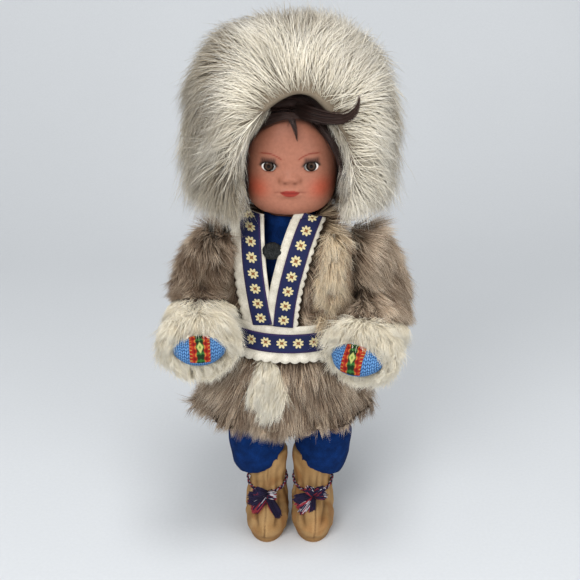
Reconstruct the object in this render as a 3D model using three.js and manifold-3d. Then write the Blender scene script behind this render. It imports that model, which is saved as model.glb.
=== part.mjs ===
// Dressed play doll in Arctic winter clothes: a vinyl doll with plug-in head, arms and legs and
// weighted sleeping eyes, in a fur hood, a fur coat, felt trousers, knitted mittens and hide boots.
// Millimetres, +Z up, the doll faces -Y, and the origin is on the floor under the doll's middle.
// Left and right are the doll's own, so its left side lies at +X.
import * as THREE from "three";
import { mergeVertices } from "three/addons/utils/BufferGeometryUtils.js";
import Module from "manifold-3d";

const wasm = await Module();
wasm.setup();

const LEFT = 1;
const RIGHT = -1;

// Clearances
const GAP = 0.3; // between pieces that touch on the real doll
const RUNNING_GAP = 0.4; // round a plug or an eye, so that its facets turn freely

// Heights, stacked up from the floor
const SOLE_THICKNESS = 2;
const LEG_LENGTH = 110; // top of the sole to the hip axis
const HIP_TO_WAIST = 19;
const WAIST_TO_SHOULDER = 41;
const SHOULDER_TO_NECK = 22; // shoulder axis to the ledge that carries the head
const HIP_Z = SOLE_THICKNESS + LEG_LENGTH;
const WAIST_Z = HIP_Z + HIP_TO_WAIST;
const SHOULDER_Z = WAIST_Z + WAIST_TO_SHOULDER;
const NECK_Z = SHOULDER_Z + SHOULDER_TO_NECK;

// Torso shell and its sockets
const TORSO_HALF_WIDTH = 25;
const TORSO_DEPTH_RATIO = 0.72;
const TORSO_WALL = 2.4;
const PELVIS_HALF_WIDTH = 11; // the block between the two hip sockets
const CHEST_HALF_WIDTH = 22; // the block between the two shoulder sockets
const HIP_DISC_RADIUS = 13;
const SHOULDER_DISC_RADIUS = 10.5;
const PLUG_RADIUS = 4.6;
const PLUG_FLANGE_RADIUS = 6.6;
const PLUG_FLANGE_THICKNESS = 1.8;
const PLUG_ROOT = 1; // how far a plug's stem runs into the pieces that it joins
const NECK_LEDGE_RADIUS = 12;
const NECK_POST_RADIUS = 8;
const NECK_POST_HEIGHT = 10;
const NECK_RIM_RADIUS = 9.4;
const NECK_RIM_THICKNESS = 2;
const NECK_SIDE_HEIGHT = 3; // the straight foot of the neck, under its ledge

// Head, measured up from the neck ledge and out from the neck axis
const HEAD_HALF_WIDTH = 25;
const HEAD_HEIGHT = 67;
const HEAD_BACK_DEPTH = 28;
const HEAD_SQUARENESS = 2.3; // 2 is a round cross-section
const HEAD_WALL = 2.6;
const FACE_CROWDING = 0.5; // share by which the corners draw together towards the face
const EYE_HEIGHT = 33;
const EYE_SPACING = 21.8;
const EYE_RADIUS = 5.8;
const EYE_DEPTH = 16.5; // neck axis to the eye axis
const EYE_OPENING_WIDTH = 8.4;
const EYE_OPENING_HEIGHT = 5.4;
const NOSE_HEIGHT = 27.5;
const MOUTH_HEIGHT = 20;
const CHEEK_HEIGHT = 19;
const CHEEK_SPACING = 29;
const CHIN_HEIGHT = 9;
const NECK_TOP = 4; // where the round neck ends under the chin
const JAW_BLEND = 3; // height over which the face's forms fade in above the neck

// Sleeping-eye mechanism
const EYE_BAR_RADIUS = 0.9;
const EYE_EAR_SPACING = 5;
const EYE_EAR_THICKNESS = 1.4;
const EYE_EAR_HALF_HEIGHT = 3.4;
const EYE_EAR_REACH = 3; // in front of and behind the bar
const EYE_WEIGHT_RADIUS = 4.2;
const EYE_WEIGHT_BACK = 9.5; // eye axis to the middle of the weight
const EYE_WEIGHT_DROP = 13;
const EYE_WEIGHT_ARM = 1.6; // thickness of the arm

// Hair and hood
const HAIR_THICKNESS = 1.8;
const WRAP_EASE = 1.2; // lets a cap of few facets clear the rounder head
const FORELOCK_RADIUS = 2.2;
const HOOD_HALF_WIDTH = 57;
const HOOD_FRONT_DEPTH = 45;
const HOOD_BACK_DEPTH = 56;
const HOOD_TOP = 105; // above the neck ledge
const HOOD_BOTTOM = 5.4;
const HOOD_WINDOW_RIGHT = 24; // neck axis to each side of the face opening
const HOOD_WINDOW_LEFT = 27;
const HOOD_WINDOW_SHOULDER = 36; // height where the opening starts to arch
const HOOD_WINDOW_TOP = 62;
const HOOD_WINDOW_FLARE = 1.45; // how much the opening widens towards the front
const RUFF_DEPTH = 16; // neck axis to the seam between ruff and crown

// Arms, measured from the shoulder axis
const SHOULDER_X = 30;
const ELBOW_OUT = 20;
const ELBOW_DROP = 30;
const WRIST_FORWARD = 31;
const WRIST_DROP = 36;
const HAND_FORWARD = 52;
const HAND_DROP = 43;
const HAND_LOWER = { [LEFT]: 4, [RIGHT]: 0 }; // how much lower each hand is held
const HAND_INSET = { [LEFT]: 21, [RIGHT]: 3 }; // how far each hand turns in from its elbow
const ARM_RADIUS = 8.5;
const FINGERTIP_ROOM = 3; // between the fingertips and the end of the mitten, each side of the path's end
const ARM_DISC_PROUD = 5; // how far the shoulder disc stands out of the bodice
const ARMPIT_FRONT = 17; // the sleeve is cut flat behind this, where it turns against the coat
const SLEEVE_RADIUS = 19;
const SLEEVE_SHOULDER_RADIUS = 18;
const SLEEVE_PUFF = 11; // how far the full shoulder of the sleeve lies outside the arm
const SLEEVE_END = 0.74; // share of the arm's length that the sleeve covers
const CUFF_RADIUS = 22.5;
const CUFF_LENGTH = 17;
const MITTEN_HALF_WIDTH = 14;
const MITTEN_HALF_HEIGHT = 9.5;
const MITTEN_LENGTH = 34;
const MITTEN_BAND_WIDTH = 11;
const BAND_THICKNESS = 0.8;
const BAND_START = 0.45; // share of the mitten's length where the band starts
const BAND_DROP = 1.5; // how far the band runs down over the mitten's tip

// Legs, measured from the hip axis
const HIP_X = 19.5;
const ANKLE_INSET = 5.9; // how far the ankle lies inside the hip
const ANKLE_HEIGHT = 12; // above the top of the sole
const ANKLE_BACK = 1.5; // how far the ankle lies behind the hip
const HIP_SWING = 30; // degrees below level that stay clear for a leg's swing
const THIGH_RADIUS = 11.5;
const ANKLE_RADIUS = 6;
const FOOT_HALF_WIDTH = 8.6;
const FOOT_LENGTH = 36;
const FOOT_HEIGHT = 10;
const FOOT_RISE = 6; // top of the sole to the middle of the foot
const LEG_DISC_REACH = 6; // hip axis to the outer face of the leg's disc
const FOOT_FORWARD = 6; // hip axis to the middle of the foot

// Clothes
const SHIRT_THICKNESS = 1.4;
const SHIRT_COLLAR_RISE = 3.6; // above the neck ledge
const TROUSER_RADIUS = 16.6;
const TROUSER_TOP_RADIUS = 14.6;
const TROUSER_HEM_HEIGHT = 39; // above the floor, at the middle of the leg
const TROUSER_HEM_SLOPE = 0.15; // the hem rises towards the other leg
const TROUSER_CAP_REACH = 7.5; // hip axis to the outer end of the trousers' rounded top
const TROUSER_RISE = 4; // above the waist, where the trousers meet the shirt
const COAT_HALF_WIDTH = 34.5;
const COAT_DEPTH_RATIO = 0.88;
const COAT_TOP = 26; // above the shoulder axis
const COAT_SIDE = 32.6; // flat side of the bodice that the sleeve turns against
const COAT_NECK_RADIUS = 16;
const SKIRT_HALF_WIDTH = 53;
const SKIRT_HALF_DEPTH = 46.5;
const SKIRT_WAIST_HALF_WIDTH = 33;
const SKIRT_WAIST_HALF_DEPTH = 29;
const SKIRT_HEM_HEIGHT = 79; // above the floor
const SKIRT_THICKNESS = 7;
const SKIRT_FOLDS = 9;
const SKIRT_FOLD_DEPTH = 2.2;
const SKIRT_LEAN = -4.5; // how far the outside of the hem hangs over to the doll's right
const INSET_MIDDLE = -12.6;
const INSET_HALF_WIDTH = 11;
const INSET_RISE = 4; // hem of the skirt to the panel's foot
const FELT_THICKNESS = 1;
const BRAID_THICKNESS = 0.6;
const BRAID_WIDTH = 10;
const BELT_FELT_ABOVE = 5.4; // felt that shows above and below the belt's braid
const BELT_FELT_BELOW = 4.4;
const LAPEL_FELT = { [LEFT]: { inner: 4.2, outer: 2.6 }, [RIGHT]: { inner: 1.6, outer: 6 } };
const LAPEL_X = { [LEFT]: [-3.5, -1.5, 11.5], [RIGHT]: [-14, -20, -20] }; // of each braid, from its foot up
const LAPEL_BEND = { [LEFT]: 3, [RIGHT]: 0 }; // how far above its middle each lapel bends
const FACING_RADIUS = 7;
const BUTTON_X = -9.2;
const BUTTON_RISE = 10; // above the shoulder axis
const BUTTON_RADIUS = 3.9;
const BUTTON_THICKNESS = 4;

// Boots
const BOOT_HALF_WIDTH = 13.1;
const BOOT_LENGTH = 45;
const SOLE_WIDTH_SHARE = 0.8; // of the boot's width and length
const SOLE_LENGTH_SHARE = 0.84;
const BOOT_FORWARD = 5.5; // ankle axis to the middle of the boot
const BOOT_INSTEP = 21;
const BOOT_BELLY = 9; // height where the foot is widest
const BOOT_HEEL_HEIGHT = 14; // height where the shaft is widest
const BOOT_WELT = 4; // how far the shaft starts above the sole
const BOOT_ANKLE_RADIUS = 10.2;
const BOOT_TOP_RADIUS = 12.2;
const BOOT_TOP_HEIGHT = 50; // above the floor
const TIE_HEIGHT = 29;
const TIE_RADIUS = 1.1;
const TIE_SLOPE = 0.3; // the tie rises towards the heel
const TASSEL_LENGTH = 13;
const TASSEL_RADIUS = 3;
const TASSEL_KNOT_RADIUS = 2.6;
const TASSEL_TILT = 0.95; // radians, as the tufts lie forward on the instep
const TASSEL_SPREAD = [-160, -115, -65, -20]; // degrees, as the tufts fan out over the instep

const FAR = 400; // longer than anything that is cut
const HIP_SOCKET_RADIUS = TROUSER_TOP_RADIUS + RUNNING_GAP;
const SHOULDER_SOCKET_RADIUS = SHOULDER_DISC_RADIUS + RUNNING_GAP;
const CROTCH_Z = HIP_Z - HIP_SOCKET_RADIUS;
const BELT_TOP_Z = WAIST_Z + BRAID_WIDTH / 2 + BELT_FELT_ABOVE;
const BELT_FOOT_Z = WAIST_Z - BRAID_WIDTH / 2 - BELT_FELT_BELOW;
const BELT_FLARE = 0.42; // how much the belt widens for each millimetre below the waist
const BELT_HALF_WIDTH = COAT_HALF_WIDTH + 2 * GAP + FELT_THICKNESS + BELT_FLARE * (WAIST_Z - BELT_FOOT_Z);
const PELVIS_ROOM = HIP_SOCKET_RADIUS + 6; // reach of the pelvis round the hip axis, seat included

// Finishes
const vinyl = finish("#c98a6d", 0.45);
const bodyVinyl = finish("#cf9f84", 0.5);
const eyeGloss = finish("#efe9e2", 0.12);
const steel = finish("#9a9a9a", 0.35, 1);
const lead = finish("#6d6f73", 0.6, 1);
const nylonHair = finish("#2c1a18", 0.5);
const paleFur = finish("#dcd5c3", 0.9);
const greyFur = finish("#8d7c6b", 0.9);
const tanFur = finish("#c2b193", 0.9);
const whiteFur = finish("#ece5d3", 0.9);
const creamFelt = finish("#e3ddcd", 0.95);
const navyBraid = finish("#1d2a63", 0.8);
const blueFelt = finish("#143f85", 0.95);
const blueKnit = finish("#4d84c4", 0.9);
const bandWeave = finish("#a5482f", 0.85);
const blackKnot = finish("#22251f", 0.5);
const tanHide = finish("#c69a60", 0.8);
const yarn = finish("#2a2347", 0.95);

function finish(color, roughness, metalness = 0) {
  return new THREE.MeshStandardMaterial({ color, roughness, metalness });
}

// The same surface with its shared corners joined and its collapsed triangles left out.
function joined(geometry) {
  const bare = new THREE.BufferGeometry();
  bare.setAttribute("position", geometry.getAttribute("position").clone());
  bare.setIndex(geometry.index ? geometry.index.clone() : null);
  const merged = mergeVertices(bare, 1e-4);
  const corners = merged.index.array;
  const kept = [];
  for (let i = 0; i < corners.length; i += 3) {
    const [a, b, c] = corners.slice(i, i + 3);
    if (a !== b && b !== c && c !== a) kept.push(a, b, c);
  }
  merged.setIndex(kept);
  return merged;
}

// A closed surface as a solid with its faces pointing out.
function toSolid(geometry) {
  const surface = joined(geometry);
  const vertProperties = surface.getAttribute("position").array;
  const corners = new Uint32Array(surface.index.array);
  const make = (triVerts) => new wasm.Manifold(new wasm.Mesh({ numProp: 3, vertProperties, triVerts }));
  const solid = make(corners);
  return solid.volume() < 0 ? make(corners.reverse()) : solid;
}

// The largest body of a solid, as a surface; offcuts are dropped.
function toGeometry(solid) {
  const bodies = solid.decompose();
  const main = bodies.reduce((best, body) => (body.volume() > best.volume() ? body : best));
  const { vertProperties, triVerts } = main.getMesh();
  const geometry = new THREE.BufferGeometry();
  geometry.setAttribute("position", new THREE.BufferAttribute(vertProperties, 3));
  return geometry.setIndex(new THREE.BufferAttribute(triVerts, 1));
}

function cut(geometry, ...tools) {
  return toGeometry(tools.reduce((left, tool) => left.subtract(toSolid(tool)), toSolid(geometry)));
}

function fuse(first, ...others) {
  return toGeometry(others.reduce((whole, other) => whole.add(toSolid(other)), toSolid(first)));
}

function common(first, ...others) {
  return toGeometry(others.reduce((left, other) => left.intersect(toSolid(other)), toSolid(first)));
}

// The surface moved out along its normals.
function swollen(geometry, by) {
  const surface = joined(geometry);
  surface.computeVertexNormals();
  const place = surface.getAttribute("position");
  const normal = surface.getAttribute("normal");
  for (let i = 0; i < place.count; i++) {
    const x = place.getX(i) + by * normal.getX(i);
    const y = place.getY(i) + by * normal.getY(i);
    place.setXYZ(i, x, y, place.getZ(i) + by * normal.getZ(i));
  }
  surface.deleteAttribute("normal");
  return surface;
}

// Every corner moved by a rule that changes a Vector3 in place.
function shaped(geometry, rule) {
  const place = geometry.getAttribute("position");
  const corner = new THREE.Vector3();
  for (let i = 0; i < place.count; i++) {
    rule(corner.fromBufferAttribute(place, i));
    place.setXYZ(i, corner.x, corner.y, corner.z);
  }
  return geometry;
}

// A smooth outline through [radius, height] points, in the given number of steps.
function curved(points, steps) {
  const spline = new THREE.SplineCurve(points.map(([r, z]) => new THREE.Vector2(r, z)));
  const outline = spline.getPoints(steps).map(({ x, y }) => [Math.max(x, 0), y]);
  outline[0][0] = points[0][0];
  outline[steps][0] = points.at(-1)[0];
  return outline;
}

// A round form about +Z from [radius, height] points.
function turned(points, sides) {
  const outline = points.map(([r, z]) => new THREE.Vector2(r, z));
  return new THREE.LatheGeometry(outline, sides).rotateX(Math.PI / 2);
}

// A round bar along X, from one x to another.
function barAlongX(radius, from, to, sides = 12) {
  const bar = new THREE.CylinderGeometry(radius, radius, Math.abs(to - from), sides);
  return bar.rotateZ(Math.PI / 2).translate((from + to) / 2, 0, 0);
}

function box(low, high) {
  const size = high.map((value, i) => value - low[i]);
  const middle = high.map((value, i) => (value + low[i]) / 2);
  return new THREE.BoxGeometry(...size).translate(...middle);
}

function ball(radiusX, radiusY, radiusZ, columns, rows) {
  const sphere = new THREE.SphereGeometry(1, columns, rows).rotateX(Math.PI / 2);
  return sphere.scale(radiusX, radiusY, radiusZ);
}

// An outline drawn in X and Z, standing out from y = back to y = back - depth.
function frontPrism(outline, depth, back = 0) {
  const prism = new THREE.ExtrudeGeometry(outline, { depth, bevelEnabled: false, curveSegments: 10 });
  return prism.rotateX(Math.PI / 2).translate(0, back, 0);
}

// A form about +Z, from z = 0 to its length, laid along a path that never runs along X.
function alongPath(geometry, path, length) {
  const across = new THREE.Vector3();
  const over = new THREE.Vector3();
  const ahead = new THREE.Vector3();
  const point = new THREE.Vector3();
  return shaped(geometry, (corner) => {
    const share = THREE.MathUtils.clamp(corner.z / length, 0, 1);
    path.getPointAt(share, point);
    path.getTangentAt(share, ahead);
    across.set(1, 0, 0).addScaledVector(ahead, -ahead.x).normalize();
    over.crossVectors(ahead, across);
    const beyond = corner.z - share * length;
    const { x, y } = corner;
    corner.copy(point).addScaledVector(across, x).addScaledVector(over, y).addScaledVector(ahead, beyond);
  });
}

// A band of even width on each side of a curve drawn in X and Z.
function ribbonOutline(curve, leftWidth, rightWidth, steps = 10) {
  const onLeft = [];
  const onRight = [];
  for (let i = 0; i <= steps; i++) {
    const point = curve.getPoint(i / steps);
    const ahead = curve.getTangent(i / steps);
    const side = new THREE.Vector2(-ahead.y, ahead.x);
    onLeft.push(point.clone().addScaledVector(side, leftWidth));
    onRight.unshift(point.clone().addScaledVector(side, -rightWidth));
  }
  return new THREE.Shape([...onLeft, ...onRight]);
}

function addPiece(group, name, geometry, material) {
  const surface = joined(geometry);
  surface.computeVertexNormals();
  const mesh = new THREE.Mesh(surface, material);
  mesh.name = name;
  group.add(mesh);
}

// A plug on a limb's inner face, with the flange that snaps in behind the torso wall.
// The limb's frame has its origin on the joint axis, at x = jointX on the doll.
function plug(side, jointX, socketX) {
  const start = socketX + GAP + PLUG_ROOT;
  const wallInside = socketX - TORSO_WALL;
  const flangeStart = wallInside - GAP;
  const flangeEnd = flangeStart - PLUG_FLANGE_THICKNESS;
  const stem = barAlongX(PLUG_RADIUS, side * (start - jointX), side * (flangeStart - PLUG_ROOT - jointX));
  const flange = barAlongX(PLUG_FLANGE_RADIUS, side * (flangeStart - jointX), side * (flangeEnd - jointX));
  return fuse(stem, flange);
}

// The torso's outside, before its sockets are cut.
function torsoForm() {
  const wide = TORSO_HALF_WIDTH;
  const side = [
    [0.62 * wide, CROTCH_Z + 0.5],
    [wide, HIP_Z],
    [0.94 * wide, WAIST_Z],
    [wide, WAIST_Z + 0.5 * WAIST_TO_SHOULDER],
    [0.97 * wide, SHOULDER_Z],
    [0.76 * wide, SHOULDER_Z + 0.42 * SHOULDER_TO_NECK],
    [NECK_LEDGE_RADIUS, NECK_Z - NECK_SIDE_HEIGHT],
    [NECK_LEDGE_RADIUS, NECK_Z],
  ];
  const outline = [[0, CROTCH_Z], ...curved(side, 7), [0, NECK_Z]];
  return shaped(turned(outline, 12), (corner) => {
    const toNeck = THREE.MathUtils.smoothstep(corner.z, SHOULDER_Z, NECK_Z - NECK_SIDE_HEIGHT);
    corner.y *= THREE.MathUtils.lerp(TORSO_DEPTH_RATIO, 1, toNeck);
  });
}

// The hollow that leaves the torso's wall, narrowed beside the sockets and open up the neck post.
function torsoHollow() {
  const atHip = PELVIS_HALF_WIDTH - TORSO_WALL;
  const atChest = CHEST_HALF_WIDTH - TORSO_WALL;
  const bore = NECK_POST_RADIUS - TORSO_WALL;
  const overHip = HIP_Z + HIP_SOCKET_RADIUS + TORSO_WALL;
  const outline = [
    [0, CROTCH_Z + TORSO_WALL],
    [atHip, CROTCH_Z + TORSO_WALL + 1],
    [atHip, overHip],
    [atChest, overHip + 6],
    [atChest, SHOULDER_Z + PLUG_FLANGE_RADIUS + 1],
    [bore, NECK_Z - TORSO_WALL],
    [bore, NECK_Z + FAR],
    [0, NECK_Z + FAR],
  ];
  return shaped(turned(outline, 10), (corner) => {
    const inBody = 1 - THREE.MathUtils.smoothstep(corner.z, SHOULDER_Z, NECK_Z - NECK_SIDE_HEIGHT);
    corner.y *= THREE.MathUtils.lerp(1, TORSO_DEPTH_RATIO, inBody);
  });
}

function torsoShell() {
  const rimTop = NECK_Z + NECK_POST_HEIGHT;
  const rimFoot = rimTop - NECK_RIM_THICKNESS;
  const post = turned(
    [
      [0, NECK_Z - 2],
      [NECK_POST_RADIUS, NECK_Z - 2],
      [NECK_POST_RADIUS, rimFoot],
      [NECK_RIM_RADIUS, rimFoot],
      [NECK_RIM_RADIUS - 0.8, rimTop],
      [0, rimTop],
    ],
    16,
  );
  const sockets = [LEFT, RIGHT].flatMap((side) => [
    legRoom(side),
    ...plugRoom(side, PELVIS_HALF_WIDTH, HIP_Z),
    barAlongX(SHOULDER_SOCKET_RADIUS, side * CHEST_HALF_WIDTH, side * FAR).translate(0, 0, SHOULDER_Z),
    ...plugRoom(side, CHEST_HALF_WIDTH, SHOULDER_Z),
  ]);
  return cut(fuse(torsoForm(), post), torsoHollow(), ...sockets);
}

// The hole for a plug and the room for its flange behind the torso's wall.
function plugRoom(side, socketX, height) {
  const inside = socketX - TORSO_WALL;
  return [
    barAlongX(PLUG_RADIUS + RUNNING_GAP, 0, side * FAR).translate(0, 0, height),
    barAlongX(PLUG_FLANGE_RADIUS + 2 * RUNNING_GAP, 0, side * inside).translate(0, 0, height),
  ];
}

// The room beside the pelvis in which a trouser leg turns: a round socket, open downwards.
function legRoom(side) {
  const [low, high] = [side * PELVIS_HALF_WIDTH, side * FAR].sort((a, b) => a - b);
  const socket = barAlongX(HIP_SOCKET_RADIUS, low, high, 20);
  return fuse(socket, box([low, -FAR, -FAR], [high, FAR, 0])).translate(0, 0, HIP_Z);
}

// A garment's layer over the torso, between two distances from it and two heights.
function torsoLayer(inner, outer, low, high) {
  const slab = box([-FAR, -FAR, low], [FAR, FAR, high]);
  return cut(common(swollen(torsoForm(), outer), slab), swollen(torsoForm(), inner));
}

function shirt() {
  const armholes = [LEFT, RIGHT].map((side) => {
    const hole = barAlongX(SHOULDER_SOCKET_RADIUS, side * (CHEST_HALF_WIDTH - TORSO_WALL), side * FAR);
    return hole.translate(0, 0, SHOULDER_Z);
  });
  const inside = NECK_LEDGE_RADIUS + 2 * GAP;
  const collar = turned(
    [
      [inside, NECK_Z - 2.5],
      [inside + 2 * SHIRT_THICKNESS, NECK_Z - 2.5],
      [inside + SHIRT_THICKNESS, NECK_Z + SHIRT_COLLAR_RISE],
      [inside, NECK_Z + SHIRT_COLLAR_RISE],
      [inside, NECK_Z - 2.5],
    ],
    14,
  );
  const body = torsoLayer(GAP, GAP + SHIRT_THICKNESS, WAIST_Z + TROUSER_RISE, NECK_Z - 2);
  return cut(fuse(body, collar), ...armholes);
}

function trouserSeat() {
  const foot = CROTCH_Z - GAP - SHIRT_THICKNESS;
  const top = WAIST_Z + TROUSER_RISE - GAP;
  return cut(torsoLayer(GAP, GAP + SHIRT_THICKNESS, foot, top), legRoom(LEFT), legRoom(RIGHT));
}

// The coat's chest, before its openings are cut.
function bodiceForm() {
  const wide = COAT_HALF_WIDTH;
  const top = SHOULDER_Z + COAT_TOP;
  const side = [
    [0.97 * wide, WAIST_Z + GAP],
    [wide, WAIST_Z + 0.4 * WAIST_TO_SHOULDER],
    [0.99 * wide, SHOULDER_Z - 6],
    [0.92 * wide, SHOULDER_Z + 0.3 * COAT_TOP],
    [COAT_NECK_RADIUS + 5, top],
  ];
  const outline = [[0, WAIST_Z + GAP], ...curved(side, 6), [0, top]];
  return shaped(turned(outline, 18), (corner) => {
    corner.y *= COAT_DEPTH_RATIO;
  });
}

// The curve down the middle of each lapel, drawn in X and Z.
function lapelCurve(side) {
  const foot = BELT_TOP_Z + GAP;
  const top = SHOULDER_Z + COAT_TOP + 1;
  const bend = (foot + top) / 2 + LAPEL_BEND[side];
  const [footX, bendX, topX] = LAPEL_X[side];
  return new THREE.QuadraticBezierCurve(
    new THREE.Vector2(footX, foot),
    new THREE.Vector2(bendX, bend),
    new THREE.Vector2(topX, top),
  );
}

// The outline of one lapel's felt, which shows unevenly on each side of its braid.
function feltOutline(side, margin) {
  const { inner, outer } = LAPEL_FELT[side];
  const reach = BRAID_WIDTH / 2 + margin;
  const [onLeft, onRight] = side === LEFT ? [outer, inner] : [inner, outer];
  return ribbonOutline(lapelCurve(side), reach + onRight, reach + onLeft);
}

// A strip of trim on the coat's front: a layer between two distances from the bodice, cut to an outline.
function lapelStrip(near, thickness, outline) {
  const behind = -SHOULDER_SOCKET_RADIUS - GAP;
  const chest = box([-FAR, -FAR, BELT_TOP_Z + GAP], [FAR, behind, SHOULDER_Z + COAT_TOP - GAP]);
  const layer = common(swollen(bodiceForm(), near + thickness), frontPrism(outline, FAR), chest);
  return cut(layer, swollen(bodiceForm(), near));
}

// The gap between the lapels, down to where they cross, through which the shirt shows.
function neckOpening() {
  const left = lapelCurve(LEFT);
  const right = lapelCurve(RIGHT);
  const inLeft = BRAID_WIDTH / 2;
  const outline = new THREE.Shape();
  outline.moveTo(right.v2.x + inLeft, right.v2.y + FAR);
  outline.lineTo(right.v2.x + inLeft, right.v2.y);
  outline.quadraticCurveTo(right.v1.x + inLeft, right.v1.y, right.v0.x + inLeft, right.v0.y + 6);
  outline.lineTo(left.v0.x - inLeft, left.v0.y + 6);
  outline.quadraticCurveTo(left.v1.x - inLeft, left.v1.y, left.v2.x - inLeft, left.v2.y);
  outline.lineTo(left.v2.x - inLeft, left.v2.y + FAR);
  return frontPrism(outline, FAR);
}

function coatBodice() {
  const top = SHOULDER_Z + COAT_TOP;
  const openings = [LEFT, RIGHT].flatMap((side) => [
    box([side > 0 ? COAT_SIDE : -FAR, -FAR, 0], [side > 0 ? FAR : -COAT_SIDE, FAR, FAR]),
    barAlongX(SHOULDER_SOCKET_RADIUS, 0, side * FAR).translate(0, 0, SHOULDER_Z),
  ]);
  const collar = turned(
    [
      [0, top - 9],
      [COAT_NECK_RADIUS, top - 9],
      [COAT_NECK_RADIUS, FAR],
      [0, FAR],
    ],
    14,
  );
  const inside = swollen(torsoForm(), 2 * GAP + SHIRT_THICKNESS);
  return cut(bodiceForm(), inside, neckOpening(), collar, ...openings);
}

// How far the skirt's folds push its wall out, from none at the waist to most at the hem.
function foldPush(angle, toHem) {
  return SKIRT_FOLD_DEPTH * toHem * Math.cos(SKIRT_FOLDS * angle);
}

// A point of the skirt's outside, or of a surface further in, at an angle round from the front.
function skirtPoint(angle, toHem, inward) {
  const flare = Math.pow(toHem, 0.8);
  const wide = THREE.MathUtils.lerp(SKIRT_WAIST_HALF_WIDTH, SKIRT_HALF_WIDTH, flare);
  const deep = THREE.MathUtils.lerp(SKIRT_WAIST_HALF_DEPTH, SKIRT_HALF_DEPTH, flare);
  const push = foldPush(angle, toHem) - inward;
  const lean = inward > 0 ? 0 : SKIRT_LEAN * toHem ** 2;
  return [(wide + push) * Math.sin(angle) + lean, -(deep + push) * Math.cos(angle)];
}

// The skirt as a ring whose wall hangs in folds: down its outside, round the hem and up its inside.
function skirtForm() {
  const top = WAIST_Z - GAP;
  const steps = [0, 0.3, 0.7, 1];
  const outside = steps.map((share) => [2, share]);
  const inside = steps.toReversed().map((share) => [1, share]);
  const ring = turned([...outside, ...inside, outside[0]], 36);
  return shaped(ring, (corner) => {
    const angle = Math.atan2(corner.x, -corner.y);
    const inward = Math.hypot(corner.x, corner.y) > 1.5 ? 0 : SKIRT_THICKNESS;
    const toHem = THREE.MathUtils.clamp(corner.z, 0, 1);
    const [x, y] = skirtPoint(angle, toHem, Math.min(inward, 4 + 12 * toHem));
    const rounded = toHem > 0.99 && inward === 0 ? 1.5 : 0;
    corner.set(x, y, THREE.MathUtils.lerp(top, SKIRT_HEM_HEIGHT, toHem) + rounded);
  });
}

// The outline of the white panel let into the skirt's front, pointed at the top and round at the foot.
function insetOutline(margin) {
  const foot = SKIRT_HEM_HEIGHT + INSET_RISE - margin;
  const top = BELT_FOOT_Z;
  const half = INSET_HALF_WIDTH + margin;
  const widest = THREE.MathUtils.lerp(SKIRT_HEM_HEIGHT, top, 0.35);
  const outline = new THREE.Shape();
  outline.moveTo(INSET_MIDDLE, foot);
  outline.quadraticCurveTo(INSET_MIDDLE + half, foot, INSET_MIDDLE + half, widest);
  outline.quadraticCurveTo(INSET_MIDDLE + half, top - 6, INSET_MIDDLE + 2, top + margin);
  outline.lineTo(INSET_MIDDLE - 2, top + margin);
  outline.quadraticCurveTo(INSET_MIDDLE - half, top - 6, INSET_MIDDLE - half, widest);
  outline.quadraticCurveTo(INSET_MIDDLE - half, foot, INSET_MIDDLE, foot);
  return outline;
}

function beltRing(near, thickness, low, high) {
  const ring = turned(
    [
      [1, low],
      [2, low],
      [2, WAIST_Z],
      [2, high],
      [1, high],
      [1, WAIST_Z],
      [1, low],
    ],
    24,
  );
  return shaped(ring, (corner) => {
    const angle = Math.atan2(corner.x, -corner.y);
    const out = near + (Math.hypot(corner.x, corner.y) > 1.5 ? thickness : 0);
    const wide = COAT_HALF_WIDTH + out;
    const deep = COAT_DEPTH_RATIO * COAT_HALF_WIDTH + out;
    const lift = BELT_FLARE * Math.max(0, WAIST_Z - corner.z);
    corner.set((wide + lift) * Math.sin(angle), -(deep + lift) * Math.cos(angle), corner.z);
  });
}

// The fold of fur along the coat's front, between the left lapel and the sleeve.
function frontFacing() {
  const foot = BELT_TOP_Z + 1;
  const top = SHOULDER_Z + COAT_TOP - 8;
  const deep = COAT_DEPTH_RATIO * COAT_HALF_WIDTH;
  const path = new THREE.CatmullRomCurve3([
    new THREE.Vector3(19, -0.72 * deep, foot),
    new THREE.Vector3(21, -0.78 * deep, (foot + top) / 2),
    new THREE.Vector3(23, -0.5 * deep, top),
  ]);
  const length = path.getLength();
  const outline = curved(
    [
      [0, 0],
      [0.8 * FACING_RADIUS, 3],
      [FACING_RADIUS, 0.5 * length],
      [0.8 * FACING_RADIUS, length - 4],
      [0, length],
    ],
    8,
  );
  const roll = alongPath(turned(outline, 12), path, length);
  const side = box([COAT_SIDE, -FAR, 0], [FAR, FAR, FAR]);
  return cut(roll, swollen(bodiceForm(), GAP), frontPrism(feltOutline(LEFT, GAP), FAR), side);
}

function neckButton() {
  const [x, z] = [BUTTON_X, SHOULDER_Z + BUTTON_RISE];
  const outline = [
    [0, 0],
    [0.8 * BUTTON_RADIUS, 0],
    [BUTTON_RADIUS, 0.35 * BUTTON_THICKNESS],
    [0.7 * BUTTON_RADIUS, 0.85 * BUTTON_THICKNESS],
    [0, BUTTON_THICKNESS],
  ];
  const deep = COAT_DEPTH_RATIO * COAT_HALF_WIDTH;
  const dome = turned(outline, 16).rotateX(Math.PI / 2 - 0.5).translate(x, -0.8 * deep, z);
  return dome;
}

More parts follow.
